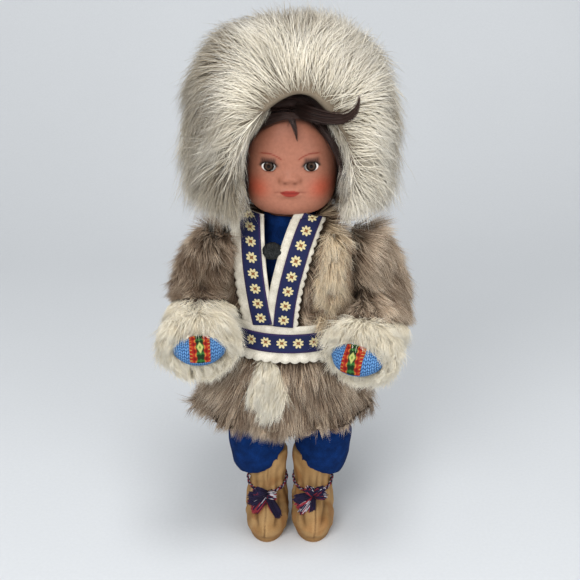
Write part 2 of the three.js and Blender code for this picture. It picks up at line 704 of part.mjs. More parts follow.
function buildTorso(doll) {
  const torso = new THREE.Group();
  doll.add(torso);
  addPiece(torso, "torso_shell", torsoShell(), bodyVinyl);
  addPiece(torso, "shirt", shirt(), blueFelt);
  addPiece(torso, "trouser_seat", trouserSeat(), blueFelt);
  addPiece(torso, "coat_bodice", coatBodice(), greyFur);
  const whole = skirtForm();
  addPiece(torso, "coat_skirt", cut(whole, frontPrism(insetOutline(GAP), FAR)), greyFur);
  addPiece(torso, "skirt_inset", common(whole, frontPrism(insetOutline(0), FAR)), whiteFur);
  for (const [side, word] of [
    [LEFT, "left"],
    [RIGHT, "right"],
  ]) {
    const felt = lapelStrip(GAP, FELT_THICKNESS, feltOutline(side, 0));
    const under = side === RIGHT ? cut(felt, frontPrism(feltOutline(LEFT, GAP), FAR)) : felt;
    const braidOutline = ribbonOutline(lapelCurve(side), BRAID_WIDTH / 2, BRAID_WIDTH / 2);
    const braid = lapelStrip(2 * GAP + FELT_THICKNESS, BRAID_THICKNESS, braidOutline);
    addPiece(torso, `${word}_lapel_felt`, under, creamFelt);
    addPiece(torso, `${word}_lapel_braid`, braid, navyBraid);
  }
  const low = WAIST_Z - BRAID_WIDTH / 2;
  const high = WAIST_Z + BRAID_WIDTH / 2;
  addPiece(torso, "belt_felt", beltRing(GAP, FELT_THICKNESS, BELT_FOOT_Z, BELT_TOP_Z), creamFelt);
  addPiece(torso, "belt_braid", beltRing(2 * GAP + FELT_THICKNESS, BRAID_THICKNESS, low, high), navyBraid);
  addPiece(torso, "front_facing", frontFacing(), tanFur);
  addPiece(torso, "neck_button", neckButton(), blackKnot);
}

// Soft rises on the face: x and height, rise and spread as shares of the head's half width.
const FACE_RISES = [
  { x: 0, z: NOSE_HEIGHT, rise: 0.144, wide: 0.108, tall: 0.12 },
  { x: 0, z: NOSE_HEIGHT + 0.24 * HEAD_HALF_WIDTH, rise: 0.04, wide: 0.096, tall: 0.2 },
  { x: 0, z: MOUTH_HEIGHT, rise: 0.052, wide: 0.184, tall: 0.088 },
  { x: 0, z: CHIN_HEIGHT, rise: 0.088, wide: 0.32, tall: 0.16 },
  { x: CHEEK_SPACING / 2, z: CHEEK_HEIGHT, rise: 0.064, wide: 0.28, tall: 0.28 },
  { x: -CHEEK_SPACING / 2, z: CHEEK_HEIGHT, rise: 0.064, wide: 0.28, tall: 0.28 },
  { x: EYE_SPACING / 2, z: EYE_HEIGHT, rise: -0.036, wide: 0.18, tall: 0.144 },
  { x: -EYE_SPACING / 2, z: EYE_HEIGHT, rise: -0.036, wide: 0.18, tall: 0.144 },
];

// The head's outside: a turned form made squarer, fuller behind, with the face raised on its front.
function headForm(columns = 26, rows = 17, crowding = FACE_CROWDING) {
  const wide = HEAD_HALF_WIDTH;
  const tall = HEAD_HEIGHT;
  const side = [
    [NECK_LEDGE_RADIUS, NECK_TOP],
    [0.73 * wide, 0.1 * tall],
    [0.93 * wide, 0.2 * tall],
    [wide, 0.36 * tall],
    [wide, 0.58 * tall],
    [0.86 * wide, 0.81 * tall],
    [0.5 * wide, 0.955 * tall],
    [0, tall],
  ];
  const outline = [[0, GAP], [NECK_LEDGE_RADIUS, GAP], ...curved(side, rows)];
  const power = 2 / HEAD_SQUARENESS;
  return shaped(turned(outline, columns), (corner) => {
    const around = Math.atan2(corner.x, -corner.y);
    const angle = around - crowding * Math.sin(around);
    const radius = Math.hypot(corner.x, corner.y);
    const overNeck = corner.z > NECK_TOP + 0.01;
    const squared = overNeck ? power : 1;
    const ahead = Math.cos(angle);
    const backward = overNeck && ahead < 0 ? HEAD_BACK_DEPTH / wide : 1;
    corner.x = radius * Math.sign(Math.sin(angle)) * Math.pow(Math.abs(Math.sin(angle)), squared);
    corner.y = -radius * backward * Math.sign(ahead) * Math.pow(Math.abs(ahead), squared);
    if (ahead <= 0) return;
    const overJaw = THREE.MathUtils.smoothstep(corner.z, NECK_TOP, NECK_TOP + JAW_BLEND);
    const onFace = overJaw * Math.min(1, 2 * ahead);
    for (const { x, z, rise, wide: spreadX, tall: spreadZ } of FACE_RISES) {
      const away = ((corner.x - x) / spreadX) ** 2 + ((corner.z - z) / spreadZ) ** 2;
      corner.y -= rise * wide * Math.exp(-away / (2 * wide * wide)) * onFace;
    }
  });
}

// The room inside the head, above the neck ring.
function headHollow(shrink) {
  const wide = HEAD_HALF_WIDTH - HEAD_WALL - shrink;
  const floor = NECK_POST_HEIGHT - NECK_RIM_THICKNESS - GAP + shrink;
  const tall = HEAD_HEIGHT - HEAD_WALL - shrink;
  const side = [
    [NECK_RIM_RADIUS + 1.5, floor + 1],
    [0.78 * wide, floor + 8],
    [wide, 0.4 * tall],
    [wide, 0.6 * tall],
    [0.8 * wide, 0.84 * tall],
    [0, tall],
  ];
  const outline = [[0, floor], [NECK_RIM_RADIUS + 1, floor], ...curved(side, 7)];
  return turned(outline, 10);
}

// An almond-shaped opening for one eye, through the face.
function eyeOpening(side) {
  const x = (side * EYE_SPACING) / 2;
  const half = EYE_OPENING_WIDTH / 2;
  const lift = 1.05 * EYE_OPENING_HEIGHT;
  const outline = new THREE.Shape();
  outline.moveTo(x - half, EYE_HEIGHT);
  outline.quadraticCurveTo(x, EYE_HEIGHT - lift, x + half, EYE_HEIGHT);
  outline.quadraticCurveTo(x, EYE_HEIGHT + lift, x - half, EYE_HEIGHT);
  return frontPrism(outline, FAR, -EYE_DEPTH);
}

function headShell() {
  const neckBore = turned(
    [
      [0, -1],
      [NECK_POST_RADIUS + RUNNING_GAP, -1],
      [NECK_POST_RADIUS + RUNNING_GAP, 0.3 * HEAD_HEIGHT],
      [0, 0.3 * HEAD_HEIGHT],
    ],
    24,
  );
  const pockets = [LEFT, RIGHT].map((side) => {
    const room = EYE_RADIUS + RUNNING_GAP;
    return ball(room, room, room, 10, 8).translate((side * EYE_SPACING) / 2, -EYE_DEPTH, EYE_HEIGHT);
  });
  const openings = [LEFT, RIGHT].map(eyeOpening);
  return cut(headForm(), headHollow(0), neckBore, ...pockets, ...openings);
}

// The arched opening round the face, widened by a margin; the flare widens it towards the front.
function faceWindow(margin, back, flare) {
  const middle = (HOOD_WINDOW_LEFT - HOOD_WINDOW_RIGHT) / 2;
  const half = (HOOD_WINDOW_LEFT + HOOD_WINDOW_RIGHT) / 2 + margin;
  const arch = HOOD_WINDOW_TOP - HOOD_WINDOW_SHOULDER + margin;
  const outline = new THREE.Shape();
  outline.moveTo(middle - half, -FAR);
  outline.lineTo(middle + half, -FAR);
  outline.lineTo(middle + half, HOOD_WINDOW_SHOULDER);
  outline.absellipse(middle, HOOD_WINDOW_SHOULDER, half, arch, 0, Math.PI, false);
  const depth = 2 * HOOD_FRONT_DEPTH;
  return shaped(frontPrism(outline, depth, back), (corner) => {
    if (corner.y > back - depth / 2) return;
    corner.x = middle + (corner.x - middle) * flare;
    if (corner.z > HOOD_WINDOW_SHOULDER) corner.z += (corner.z - HOOD_WINDOW_SHOULDER) * (flare - 1);
  });
}

// The head without its small forms, just outside it, as the hair and the hood lie round it.
function wrapForm() {
  return swollen(headForm(16, 8, 0), WRAP_EASE);
}

// A cap over the head between two distances from it, open at the face and cut off above the jaw.
function headCap(inner, outer, foot, windowMargin, windowBack) {
  const above = box([-FAR, -FAR, foot], [FAR, FAR, FAR]);
  const layer = common(swollen(wrapForm(), outer), above);
  return cut(layer, swollen(wrapForm(), inner), faceWindow(windowMargin, windowBack, 1));
}

const HAIR_OUTSIDE = GAP + HAIR_THICKNESS;

// The hood's outside: a turned dome, deeper behind than in front.
function hoodForm() {
  const wide = HOOD_HALF_WIDTH;
  const tall = HOOD_TOP - HOOD_BOTTOM;
  const side = [
    [0.9 * wide, HOOD_BOTTOM],
    [0.99 * wide, HOOD_BOTTOM + 0.22 * tall],
    [wide, HOOD_BOTTOM + 0.5 * tall],
    [0.88 * wide, HOOD_BOTTOM + 0.76 * tall],
    [0.5 * wide, HOOD_BOTTOM + 0.96 * tall],
    [0, HOOD_TOP],
  ];
  return shaped(turned([[0, HOOD_BOTTOM], ...curved(side, 11)], 26), (corner) => {
    corner.y *= (corner.y < 0 ? HOOD_FRONT_DEPTH : HOOD_BACK_DEPTH) / wide;
  });
}

function hoodPart(low, high) {
  const slab = box([-FAR, low, -FAR], [FAR, high, FAR]);
  const window = faceWindow(0, -0.3 * HEAD_HALF_WIDTH, HOOD_WINDOW_FLARE);
  const collarRadius = NECK_LEDGE_RADIUS + 2 * SHIRT_THICKNESS + 4 * GAP;
  const collarRoom = turned(
    [
      [0, -1],
      [collarRadius, -1],
      [collarRadius, SHIRT_COLLAR_RISE + 1],
      [0, SHIRT_COLLAR_RISE + 1],
    ],
    16,
  );
  return cut(common(hoodForm(), slab), swollen(wrapForm(), HAIR_OUTSIDE + GAP), window, collarRoom);
}

// A lock of hair that curls out of the hood over the doll's left brow.
function forelock() {
  const rise = 0.836 * HEAD_HEIGHT;
  const front = HEAD_HALF_WIDTH + HAIR_OUTSIDE;
  const path = new THREE.CatmullRomCurve3([
    new THREE.Vector3(6, -0.88 * front, rise + 2),
    new THREE.Vector3(16, -1.09 * front, rise + 2),
    new THREE.Vector3(26, -1.4 * front, rise + 2.5),
    new THREE.Vector3(31.5, -1.42 * front, rise + 11),
  ]);
  const length = path.getLength();
  const outline = curved(
    [
      [0, 0],
      [0.8 * FORELOCK_RADIUS, 0.1 * length],
      [FORELOCK_RADIUS, 0.45 * length],
      [0.6 * FORELOCK_RADIUS, 0.8 * length],
      [0, length],
    ],
    6,
  );
  const ahead = new THREE.Vector3();
  const point = new THREE.Vector3();
  const up = new THREE.Vector3(0, 0, 1);
  const across = new THREE.Vector3();
  const over = new THREE.Vector3();
  return shaped(turned(outline, 6), (corner) => {
    const share = THREE.MathUtils.clamp(corner.z / length, 0, 1);
    path.getPointAt(share, point);
    path.getTangentAt(share, ahead);
    across.crossVectors(up, ahead).normalize();
    over.crossVectors(ahead, across);
    const { x, y } = corner;
    corner.copy(point).addScaledVector(across, x).addScaledVector(over, y);
  });
}

// The bracket behind the nose that carries the eyes' bar: two ears joined in front of it.
function eyeCradle() {
  const halfWidth = EYE_EAR_SPACING / 2 + EYE_EAR_THICKNESS;
  const block = box(
    [-halfWidth, -HEAD_HALF_WIDTH, EYE_HEIGHT - EYE_EAR_HALF_HEIGHT],
    [halfWidth, -EYE_DEPTH + EYE_EAR_REACH, EYE_HEIGHT + EYE_EAR_HALF_HEIGHT],
  );
  const slot = box(
    [-EYE_EAR_SPACING / 2, -EYE_DEPTH - EYE_EAR_REACH, EYE_HEIGHT - FAR],
    [EYE_EAR_SPACING / 2, FAR, EYE_HEIGHT + FAR],
  );
  const bore = barAlongX(EYE_BAR_RADIUS + RUNNING_GAP, -FAR, FAR, 10).translate(0, -EYE_DEPTH, EYE_HEIGHT);
  const pockets = [LEFT, RIGHT].map((side) => {
    const room = EYE_RADIUS + RUNNING_GAP;
    return ball(room, room, room, 10, 8).translate((side * EYE_SPACING) / 2, -EYE_DEPTH, EYE_HEIGHT);
  });
  return cut(common(block, headHollow(GAP)), slot, bore, ...pockets);
}

// The lead weight behind and below the eyes, on an arm with a hub round the bar.
function eyeWeight() {
  const hubRadius = EYE_BAR_RADIUS + GAP + 0.75 * EYE_WEIGHT_ARM;
  const hubHalf = EYE_EAR_SPACING / 2 - 2 * GAP;
  const hub = barAlongX(hubRadius, -hubHalf, hubHalf, 10);
  const reach = Math.hypot(EYE_WEIGHT_BACK, EYE_WEIGHT_DROP);
  const half = EYE_WEIGHT_ARM / 2;
  const arm = box([-half, 0, -half], [half, reach, half]);
  arm.rotateX(-Math.atan2(EYE_WEIGHT_DROP, EYE_WEIGHT_BACK));
  const bob = ball(EYE_WEIGHT_RADIUS, EYE_WEIGHT_RADIUS, EYE_WEIGHT_RADIUS, 8, 6);
  bob.translate(0, EYE_WEIGHT_BACK, -EYE_WEIGHT_DROP);
  return cut(fuse(hub, arm, bob), barAlongX(EYE_BAR_RADIUS + GAP, -FAR, FAR, 10));
}

function buildHead(doll) {
  const head = new THREE.Group();
  head.position.z = NECK_Z;
  doll.add(head);
  addPiece(head, "head_shell", headShell(), vinyl);
  const hair = headCap(GAP, HAIR_OUTSIDE, 0.22 * HEAD_HEIGHT, -2, -0.12 * HEAD_HALF_WIDTH);
  addPiece(head, "hair_cap", hair, nylonHair);
  addPiece(head, "hood_ruff", cut(hoodPart(-FAR, -RUFF_DEPTH), swollen(forelock(), GAP)), paleFur);
  addPiece(head, "hood_crown", hoodPart(-RUFF_DEPTH + GAP, FAR), paleFur);
  const coveredHead = [swollen(headForm(), GAP), swollen(hair, GAP)];
  addPiece(head, "forelock", cut(forelock(), ...coveredHead), nylonHair);
  addPiece(head, "eye_cradle", eyeCradle(), bodyVinyl);

  const eyes = new THREE.Group();
  eyes.position.set(0, -EYE_DEPTH, EYE_HEIGHT);
  head.add(eyes);
  for (const [side, word] of [
    [LEFT, "left"],
    [RIGHT, "right"],
  ]) {
    const eye = ball(EYE_RADIUS, EYE_RADIUS, EYE_RADIUS, 12, 8);
    eye.translate((side * EYE_SPACING) / 2, 0, 0);
    addPiece(eyes, `${word}_eye`, eye, eyeGloss);
  }
  const barEnd = EYE_SPACING / 2 - EYE_RADIUS - GAP;
  addPiece(eyes, "eye_bar", barAlongX(EYE_BAR_RADIUS, -barEnd, barEnd, 10), steel);
  addPiece(eyes, "eye_weight", eyeWeight(), lead);
}

// The line through an arm from its shoulder to its fingertips.
function armPath(side) {
  const hand = ELBOW_OUT - HAND_INSET[side];
  const wrist = ELBOW_OUT - 0.4 * HAND_INSET[side];
  return new THREE.CatmullRomCurve3([
    new THREE.Vector3(0, 0, 0),
    new THREE.Vector3(side * 0.6 * ELBOW_OUT, 1, -0.46 * ELBOW_DROP),
    new THREE.Vector3(side * ELBOW_OUT, -4, -ELBOW_DROP),
    new THREE.Vector3(side * wrist, -WRIST_FORWARD, -WRIST_DROP - 0.6 * HAND_LOWER[side]),
    new THREE.Vector3(side * hand, -HAND_FORWARD, -HAND_DROP - HAND_LOWER[side]),
  ]);
}

// The line through a sleeve, which stands off the arm at the shoulder and joins it at the elbow.
function sleevePath(side) {
  const path = armPath(side);
  path.points[0].x += side * SLEEVE_PUFF;
  path.points[1].x += side * 0.5 * SLEEVE_PUFF;
  return path;
}

// A form about +Z placed with its foot at a share of the arm's length, pointing to the fingertips.
function onArm(geometry, side, share) {
  const path = armPath(side);
  const ahead = path.getTangentAt(share);
  const turn = new THREE.Matrix4();
  const across = new THREE.Vector3(1, 0, 0).addScaledVector(ahead, -ahead.x).normalize();
  turn.makeBasis(across, new THREE.Vector3().crossVectors(ahead, across), ahead);
  turn.setPosition(path.getPointAt(share));
  return geometry.applyMatrix4(turn);
}

function armForm(side) {
  const path = armPath(side);
  const length = path.getLength() - FINGERTIP_ROOM;
  const outline = curved(
    [
      [0, 0],
      [ARM_RADIUS, 3],
      [ARM_RADIUS, 0.35 * length],
      [0.8 * ARM_RADIUS, 0.6 * length],
      [0.72 * ARM_RADIUS, 0.78 * length],
      [0.85 * ARM_RADIUS, 0.9 * length],
      [0, length],
    ],
    8,
  );
  return alongPath(turned(outline, 8), path, path.getLength());
}

// The arm with the disc that fills the armhole and the plug that snaps into the torso.
function armWithPlug(side) {
  const start = side * (CHEST_HALF_WIDTH + GAP - SHOULDER_X);
  const disc = barAlongX(SHOULDER_DISC_RADIUS, start, side * (COAT_SIDE + ARM_DISC_PROUD - SHOULDER_X));
  return fuse(cut(armForm(side), besideCoat(side)), disc, plug(side, SHOULDER_X, CHEST_HALF_WIDTH));
}

// Everything on the body's side of a plane just off the bodice, in the frame of one arm.
function besideCoat(side, front = -FAR) {
  const edge = side * (COAT_SIDE + GAP - SHOULDER_X);
  const [low, high] = [edge, -side * FAR].sort((a, b) => a - b);
  return box([low, front, -FAR], [high, FAR, FAR]);
}

// The room that the belt needs inside a sleeve, in the frame of one arm, for every way the arm is raised.
function besideBelt(side) {
  const edge = side * (BELT_HALF_WIDTH + 2 * GAP - SHOULDER_X);
  const [low, high] = [edge, -side * FAR].sort((a, b) => a - b);
  const behind = box([low, -8, -FAR], [high, FAR, BELT_TOP_Z + 2 - SHOULDER_Z]);
  const round = new THREE.CylinderGeometry(1, 1, FAR, 24).rotateX(Math.PI / 2);
  const deep = BELT_HALF_WIDTH - COAT_HALF_WIDTH * (1 - COAT_DEPTH_RATIO);
  round.scale(BELT_HALF_WIDTH + 2 * GAP, deep + 2 * GAP, 1);
  return fuse(behind, round.translate(-side * SHOULDER_X, 0, BELT_TOP_Z + 2 * GAP - SHOULDER_Z - FAR / 2));
}

function sleeveForm(side) {
  const path = sleevePath(side);
  const length = path.getLength() - (1 - SLEEVE_END) * armPath(side).getLength();
  const outline = [
    ...curved(
      [
        [0, -SLEEVE_SHOULDER_RADIUS],
        [0.7 * SLEEVE_SHOULDER_RADIUS, -0.68 * SLEEVE_SHOULDER_RADIUS],
        [SLEEVE_SHOULDER_RADIUS, 2],
        [0.93 * SLEEVE_RADIUS, 0.45 * length],
        [SLEEVE_RADIUS, 0.75 * length],
        [0.93 * SLEEVE_RADIUS, length],
      ],
      9,
    ),
    [0, length],
  ];
  return alongPath(turned(outline, 14), path, path.getLength());
}

function mittenForm(side) {
  const half = MITTEN_LENGTH / 2;
  const sphere = ball(MITTEN_HALF_WIDTH, MITTEN_HALF_HEIGHT, half, 14, 8).translate(0, 0, half);
  return onArm(sphere, side, mittenStart(side));
}

// The share of the arm's length where the mitten starts, so that it ends just past the fingertips.
function mittenStart(side) {
  const length = armPath(side).getLength();
  return (length + FINGERTIP_ROOM - MITTEN_LENGTH) / length;
}

function cuffForm(side) {
  const outline = curved(
    [
      [0, -1],
      [0.75 * CUFF_RADIUS, 0.5],
      [CUFF_RADIUS, 0.55 * CUFF_LENGTH],
      [0.7 * CUFF_RADIUS, CUFF_LENGTH],
      [0, CUFF_LENGTH - 1],
    ],
    7,
  );
  return onArm(turned(outline, 14), side, SLEEVE_END - 0.02);
}

// A woven band over the back and fingertips of the mitten.
function mittenBand(side) {
  const half = MITTEN_BAND_WIDTH / 2;
  const slab = box([-half, -BAND_DROP, BAND_START * MITTEN_LENGTH], [half, FAR, FAR]);
  const mitten = mittenForm(side);
  const layer = common(swollen(mitten, GAP + BAND_THICKNESS), onArm(slab, side, mittenStart(side)));
  return cut(layer, swollen(mitten, GAP), swollen(cuffForm(side), GAP));
}

function buildArm(doll, side, word) {
  const arm = new THREE.Group();
  arm.position.set(side * SHOULDER_X, 0, SHOULDER_Z);
  doll.add(arm);
  const limbRoom = swollen(armForm(side), 2 * GAP);
  const mitten = mittenForm(side);
  const mittenRoom = swollen(mitten, GAP);
  const sleeve = sleeveForm(side);
  const discEnd = side * (COAT_SIDE + ARM_DISC_PROUD + GAP - SHOULDER_X);
  const shoulderRoom = barAlongX(SHOULDER_SOCKET_RADIUS, -discEnd, discEnd);
  addPiece(arm, `${word}_arm`, armWithPlug(side), bodyVinyl);
  const flatSide = besideCoat(side, -ARMPIT_FRONT);
  const worn = cut(sleeve, shoulderRoom, limbRoom, mittenRoom, flatSide, besideBelt(side));
  addPiece(arm, `${word}_sleeve`, worn, greyFur);
  const coatRoom = swollen(bodiceForm(), 2 * GAP).translate(-side * SHOULDER_X, 0, -SHOULDER_Z);
  const cuff = cut(cuffForm(side), swollen(sleeve, GAP), mittenRoom, besideBelt(side), coatRoom);
  addPiece(arm, `${word}_cuff`, cuff, whiteFur);
  addPiece(arm, `${word}_mitten`, cut(mitten, limbRoom), blueKnit);
  addPiece(arm, `${word}_mitten_band`, mittenBand(side), bandWeave);
}

// The line down a leg from its hip to its ankle.
function legPath(side) {
  const drop = LEG_LENGTH - ANKLE_HEIGHT;
  return new THREE.CatmullRomCurve3([
    new THREE.Vector3(0, 0, 0),
    new THREE.Vector3(side * 0.5, 0, -0.5 * drop),
    new THREE.Vector3(-side * ANKLE_INSET, ANKLE_BACK, -drop),
  ]);
}

// The leg and the foot, which are joined into one limb.
function legForms(side) {
  const path = legPath(side);
  const length = path.getLength();
  const outline = [
    ...curved(
      [
        [0, -3],
        [THIGH_RADIUS, 2],
        [THIGH_RADIUS, 0.3 * length],
        [0.66 * THIGH_RADIUS, 0.55 * length],
        [0.62 * THIGH_RADIUS, 0.72 * length],
        [ANKLE_RADIUS, length],
      ],
      6,
    ),
    [0, length],
  ];
  const limb = alongPath(turned(outline, 8), path, length);
  const foot = ball(FOOT_HALF_WIDTH, FOOT_LENGTH / 2, FOOT_HEIGHT, 8, 6);
  foot.translate(-side * ANKLE_INSET, -FOOT_FORWARD, FOOT_RISE - LEG_LENGTH);
  return [limb, foot];
}

// The leg with the disc that fills the hip socket and the plug that snaps into the torso.
function legWithPlug(side) {
  const disc = barAlongX(HIP_DISC_RADIUS, side * (PELVIS_HALF_WIDTH + GAP - HIP_X), side * LEG_DISC_REACH);
  const under = box([-FAR, -FAR, -FAR], [FAR, FAR, 2 * GAP - LEG_LENGTH]);
  const limb = cut(fuse(...legForms(side)), under, pelvisRoom(side));
  return fuse(limb, disc, plug(side, HIP_X, PELVIS_HALF_WIDTH));
}

// The room that the pelvis needs beside a leg, in the frame of that leg, for every way it swings.
function pelvisRoom(side) {
  return barAlongX(PELVIS_ROOM, -side * FAR, side * (PELVIS_HALF_WIDTH + GAP - HIP_X), 24);
}

// The upper of a soft boot: a rounded foot drawn in to the ankle and flared at the top.
function bootForm(side) {
  const floor = -HIP_Z;
  const low = floor + SOLE_THICKNESS + GAP;
  const welt = low + BOOT_WELT;
  const foot = ball(BOOT_HALF_WIDTH, BOOT_LENGTH / 2, BOOT_INSTEP - BOOT_BELLY, 16, 8);
  foot.translate(-side * ANKLE_INSET, -BOOT_FORWARD, floor + BOOT_BELLY);
  const outline = [
    [0, welt],
    ...curved(
      [
        [0.9 * BOOT_HALF_WIDTH, welt],
        [BOOT_HALF_WIDTH, floor + BOOT_HEEL_HEIGHT],
        [BOOT_ANKLE_RADIUS, floor + TIE_HEIGHT],
        [BOOT_TOP_RADIUS, floor + 0.5 * (TIE_HEIGHT + BOOT_TOP_HEIGHT)],
        [BOOT_TOP_RADIUS, floor + BOOT_TOP_HEIGHT],
      ],
      6,
    ),
    [0, floor + BOOT_TOP_HEIGHT],
  ];
  const shaft = turned(outline, 16).translate(-side * ANKLE_INSET, ANKLE_BACK, 0);
  const under = box([-FAR, -FAR, -FAR], [FAR, FAR, low]);
  return cut(fuse(foot, shaft), under, midline(side));
}

// Everything past the doll's middle, in the frame of one leg, so that the legs swing side by side.
function midline(side) {
  const edge = side * (GAP / 2 - HIP_X);
  return box([Math.min(edge, -side * FAR), -FAR, -FAR], [Math.max(edge, -side * FAR), FAR, FAR]);
}

function bootSole(side) {
  const outline = new THREE.Shape();
  const halfWidth = SOLE_WIDTH_SHARE * BOOT_HALF_WIDTH;
  const halfLength = (SOLE_LENGTH_SHARE * BOOT_LENGTH) / 2;
  outline.absellipse(-side * ANKLE_INSET, -BOOT_FORWARD, halfWidth, halfLength, 0, 2 * Math.PI);
  const plate = new THREE.ExtrudeGeometry(outline, {
    depth: SOLE_THICKNESS,
    bevelEnabled: false,
    curveSegments: 16,
  });
  return plate.translate(0, 0, -HIP_Z);
}

// The cord round the ankle, higher at the heel than at the instep.
function bootTie(side) {
  const ring = new THREE.TorusGeometry(BOOT_ANKLE_RADIUS + TIE_RADIUS + 3 * GAP, TIE_RADIUS, 5, 16);
  shaped(ring, (corner) => {
    corner.z += TIE_SLOPE * corner.y;
  });
  return ring.translate(-side * ANKLE_INSET, ANKLE_BACK, TIE_HEIGHT - HIP_Z);
}

// Cut-yarn tufts that fan out from the knot of the tie over the instep.
function tassel(side) {
  const knot = ball(TASSEL_KNOT_RADIUS, TASSEL_KNOT_RADIUS, TASSEL_KNOT_RADIUS, 8, 6);
  const outline = [
    [0, 0],
    [0.5 * TASSEL_RADIUS, 2],
    [TASSEL_RADIUS, 0.85 * TASSEL_LENGTH],
    [0, TASSEL_LENGTH],
  ];
  const tufts = TASSEL_SPREAD.map((degrees) => {
    const tuft = turned(outline, 5).rotateY(Math.PI / 2).rotateX(Math.PI / 2);
    return tuft.rotateY(-THREE.MathUtils.degToRad(degrees)).rotateX(-TASSEL_TILT);
  });
  const front = BOOT_ANKLE_RADIUS + 2 * TIE_RADIUS + TASSEL_KNOT_RADIUS;
  const drop = TIE_HEIGHT - TIE_SLOPE * BOOT_ANKLE_RADIUS - HIP_Z;
  return fuse(knot, ...tufts).translate(-side * ANKLE_INSET, ANKLE_BACK - front, drop);
}

// A felt trouser leg that bags over the boot, its hem rising towards the other leg.
function trouserLeg(side) {
  const path = legPath(side);
  const length = path.getLength();
  const hem = HIP_Z - TROUSER_HEM_HEIGHT;
  const outline = [
    ...curved(
      [
        [0.2 * TROUSER_RADIUS, -2],
        [0.8 * TROUSER_RADIUS, 4],
        [0.97 * TROUSER_RADIUS, 0.3 * hem],
        [TROUSER_RADIUS, 0.62 * hem],
        [TROUSER_RADIUS, 0.86 * hem],
        [0.84 * TROUSER_RADIUS, hem],
      ],
      8,
    ),
    [0, hem],
  ];
  const tube = alongPath(turned([[0, -2], ...outline], 14), path, length);
  shaped(tube, (corner) => {
    const nearHem = THREE.MathUtils.smoothstep(-corner.z, 0.5 * hem, hem);
    corner.z -= side * TROUSER_HEM_SLOPE * corner.x * nearHem;
  });
  const capInside = side * (PELVIS_HALF_WIDTH + GAP - HIP_X);
  const cap = barAlongX(TROUSER_TOP_RADIUS, capInside, side * TROUSER_CAP_REACH, 20);
  const swing = THREE.MathUtils.degToRad(HIP_SWING);
  const front = box([-FAR, -FAR, 0], [FAR, 0, FAR]).rotateX(swing);
  const back = box([-FAR, 0, 0], [FAR, FAR, FAR]).rotateX(-swing);
  return cut(fuse(cut(tube, front, back), cap), pelvisRoom(side));
}

function buildLeg(doll, side, word) {
  const leg = new THREE.Group();
  leg.position.set(side * HIP_X, 0, HIP_Z);
  doll.add(leg);
  const limbRooms = legForms(side).map((form) => swollen(form, 2 * GAP));
  const upper = bootForm(side);
  const upperRoom = swollen(upper, GAP);
  const tie = cut(bootTie(side), upperRoom, midline(side));
  const shaftTop = BOOT_TOP_HEIGHT + GAP - HIP_Z;
  const shaftRadius = BOOT_TOP_RADIUS + 2 * GAP;
  const shaftRoom = new THREE.CylinderGeometry(shaftRadius, shaftRadius, FAR, 16).rotateX(Math.PI / 2);
  shaftRoom.translate(-side * ANKLE_INSET, ANKLE_BACK, shaftTop - FAR / 2);
  const hipInside = side * (PELVIS_HALF_WIDTH - HIP_X);
  const hipRoom = barAlongX(HIP_DISC_RADIUS + GAP, hipInside, side * (LEG_DISC_REACH + GAP));
  addPiece(leg, `${word}_leg`, legWithPlug(side), bodyVinyl);
  addPiece(leg, `${word}_boot`, cut(upper, ...limbRooms), tanHide);
  addPiece(leg, `${word}_boot_sole`, bootSole(side), tanHide);
  addPiece(leg, `${word}_boot_tie`, tie, yarn);
  const trousers = cut(trouserLeg(side), hipRoom, limbRooms[0], shaftRoom, midline(side));
  addPiece(leg, `${word}_trouser_leg`, trousers, blueFelt);
  const tufts = cut(tassel(side), upperRoom, swollen(bootTie(side), GAP), midline(side));
  addPiece(leg, `${word}_tassel`, tufts, yarn);
}

const doll = new THREE.Group();
buildTorso(doll);
buildHead(doll);
buildArm(doll, LEFT, "left");
buildArm(doll, RIGHT, "right");
buildLeg(doll, LEFT, "left");
buildLeg(doll, RIGHT, "right");

export default doll;
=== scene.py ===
"""Looks of a dressed play doll in Arctic winter clothes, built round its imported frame.

Metres, +Z up. The doll faces -Y, and its own left side lies at +X. Fur and hair are strands of mesh that
grow from a hide laid inside each CAD solid, so that the pile ends about where the solid does.
"""

import logging
import math
from dataclasses import dataclass
from enum import Enum

import bmesh
import bpy
import numpy as np
from mathutils import Matrix, Vector
from mathutils.bvhtree import BVHTree
from mathutils.kdtree import KDTree


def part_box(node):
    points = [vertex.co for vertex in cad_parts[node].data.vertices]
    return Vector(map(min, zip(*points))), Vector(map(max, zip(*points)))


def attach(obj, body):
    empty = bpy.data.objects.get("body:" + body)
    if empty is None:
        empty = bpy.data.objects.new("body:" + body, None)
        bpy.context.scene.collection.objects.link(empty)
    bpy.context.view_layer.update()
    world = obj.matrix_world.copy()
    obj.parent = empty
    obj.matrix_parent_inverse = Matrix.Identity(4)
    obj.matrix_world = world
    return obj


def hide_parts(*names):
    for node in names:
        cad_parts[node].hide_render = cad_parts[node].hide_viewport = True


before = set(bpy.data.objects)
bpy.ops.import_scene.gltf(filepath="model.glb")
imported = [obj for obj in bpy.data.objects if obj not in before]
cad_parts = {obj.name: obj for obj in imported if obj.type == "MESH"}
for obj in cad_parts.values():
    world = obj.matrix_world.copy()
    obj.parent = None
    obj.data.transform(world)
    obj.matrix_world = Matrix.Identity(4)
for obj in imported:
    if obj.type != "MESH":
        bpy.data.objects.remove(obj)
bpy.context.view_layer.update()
log = logging.getLogger("doll")

MM = 0.001
STRAND_MAP = "OFBake"  # u is the tone of a strand, v runs from its root to its tip
PAINT_LAYER = "Paint"  # colours painted on the points of a mesh
DOWN = np.array([0.0, 0.0, -1.0])
LEFTWARD = np.array([1.0, 0.0, 0.0])

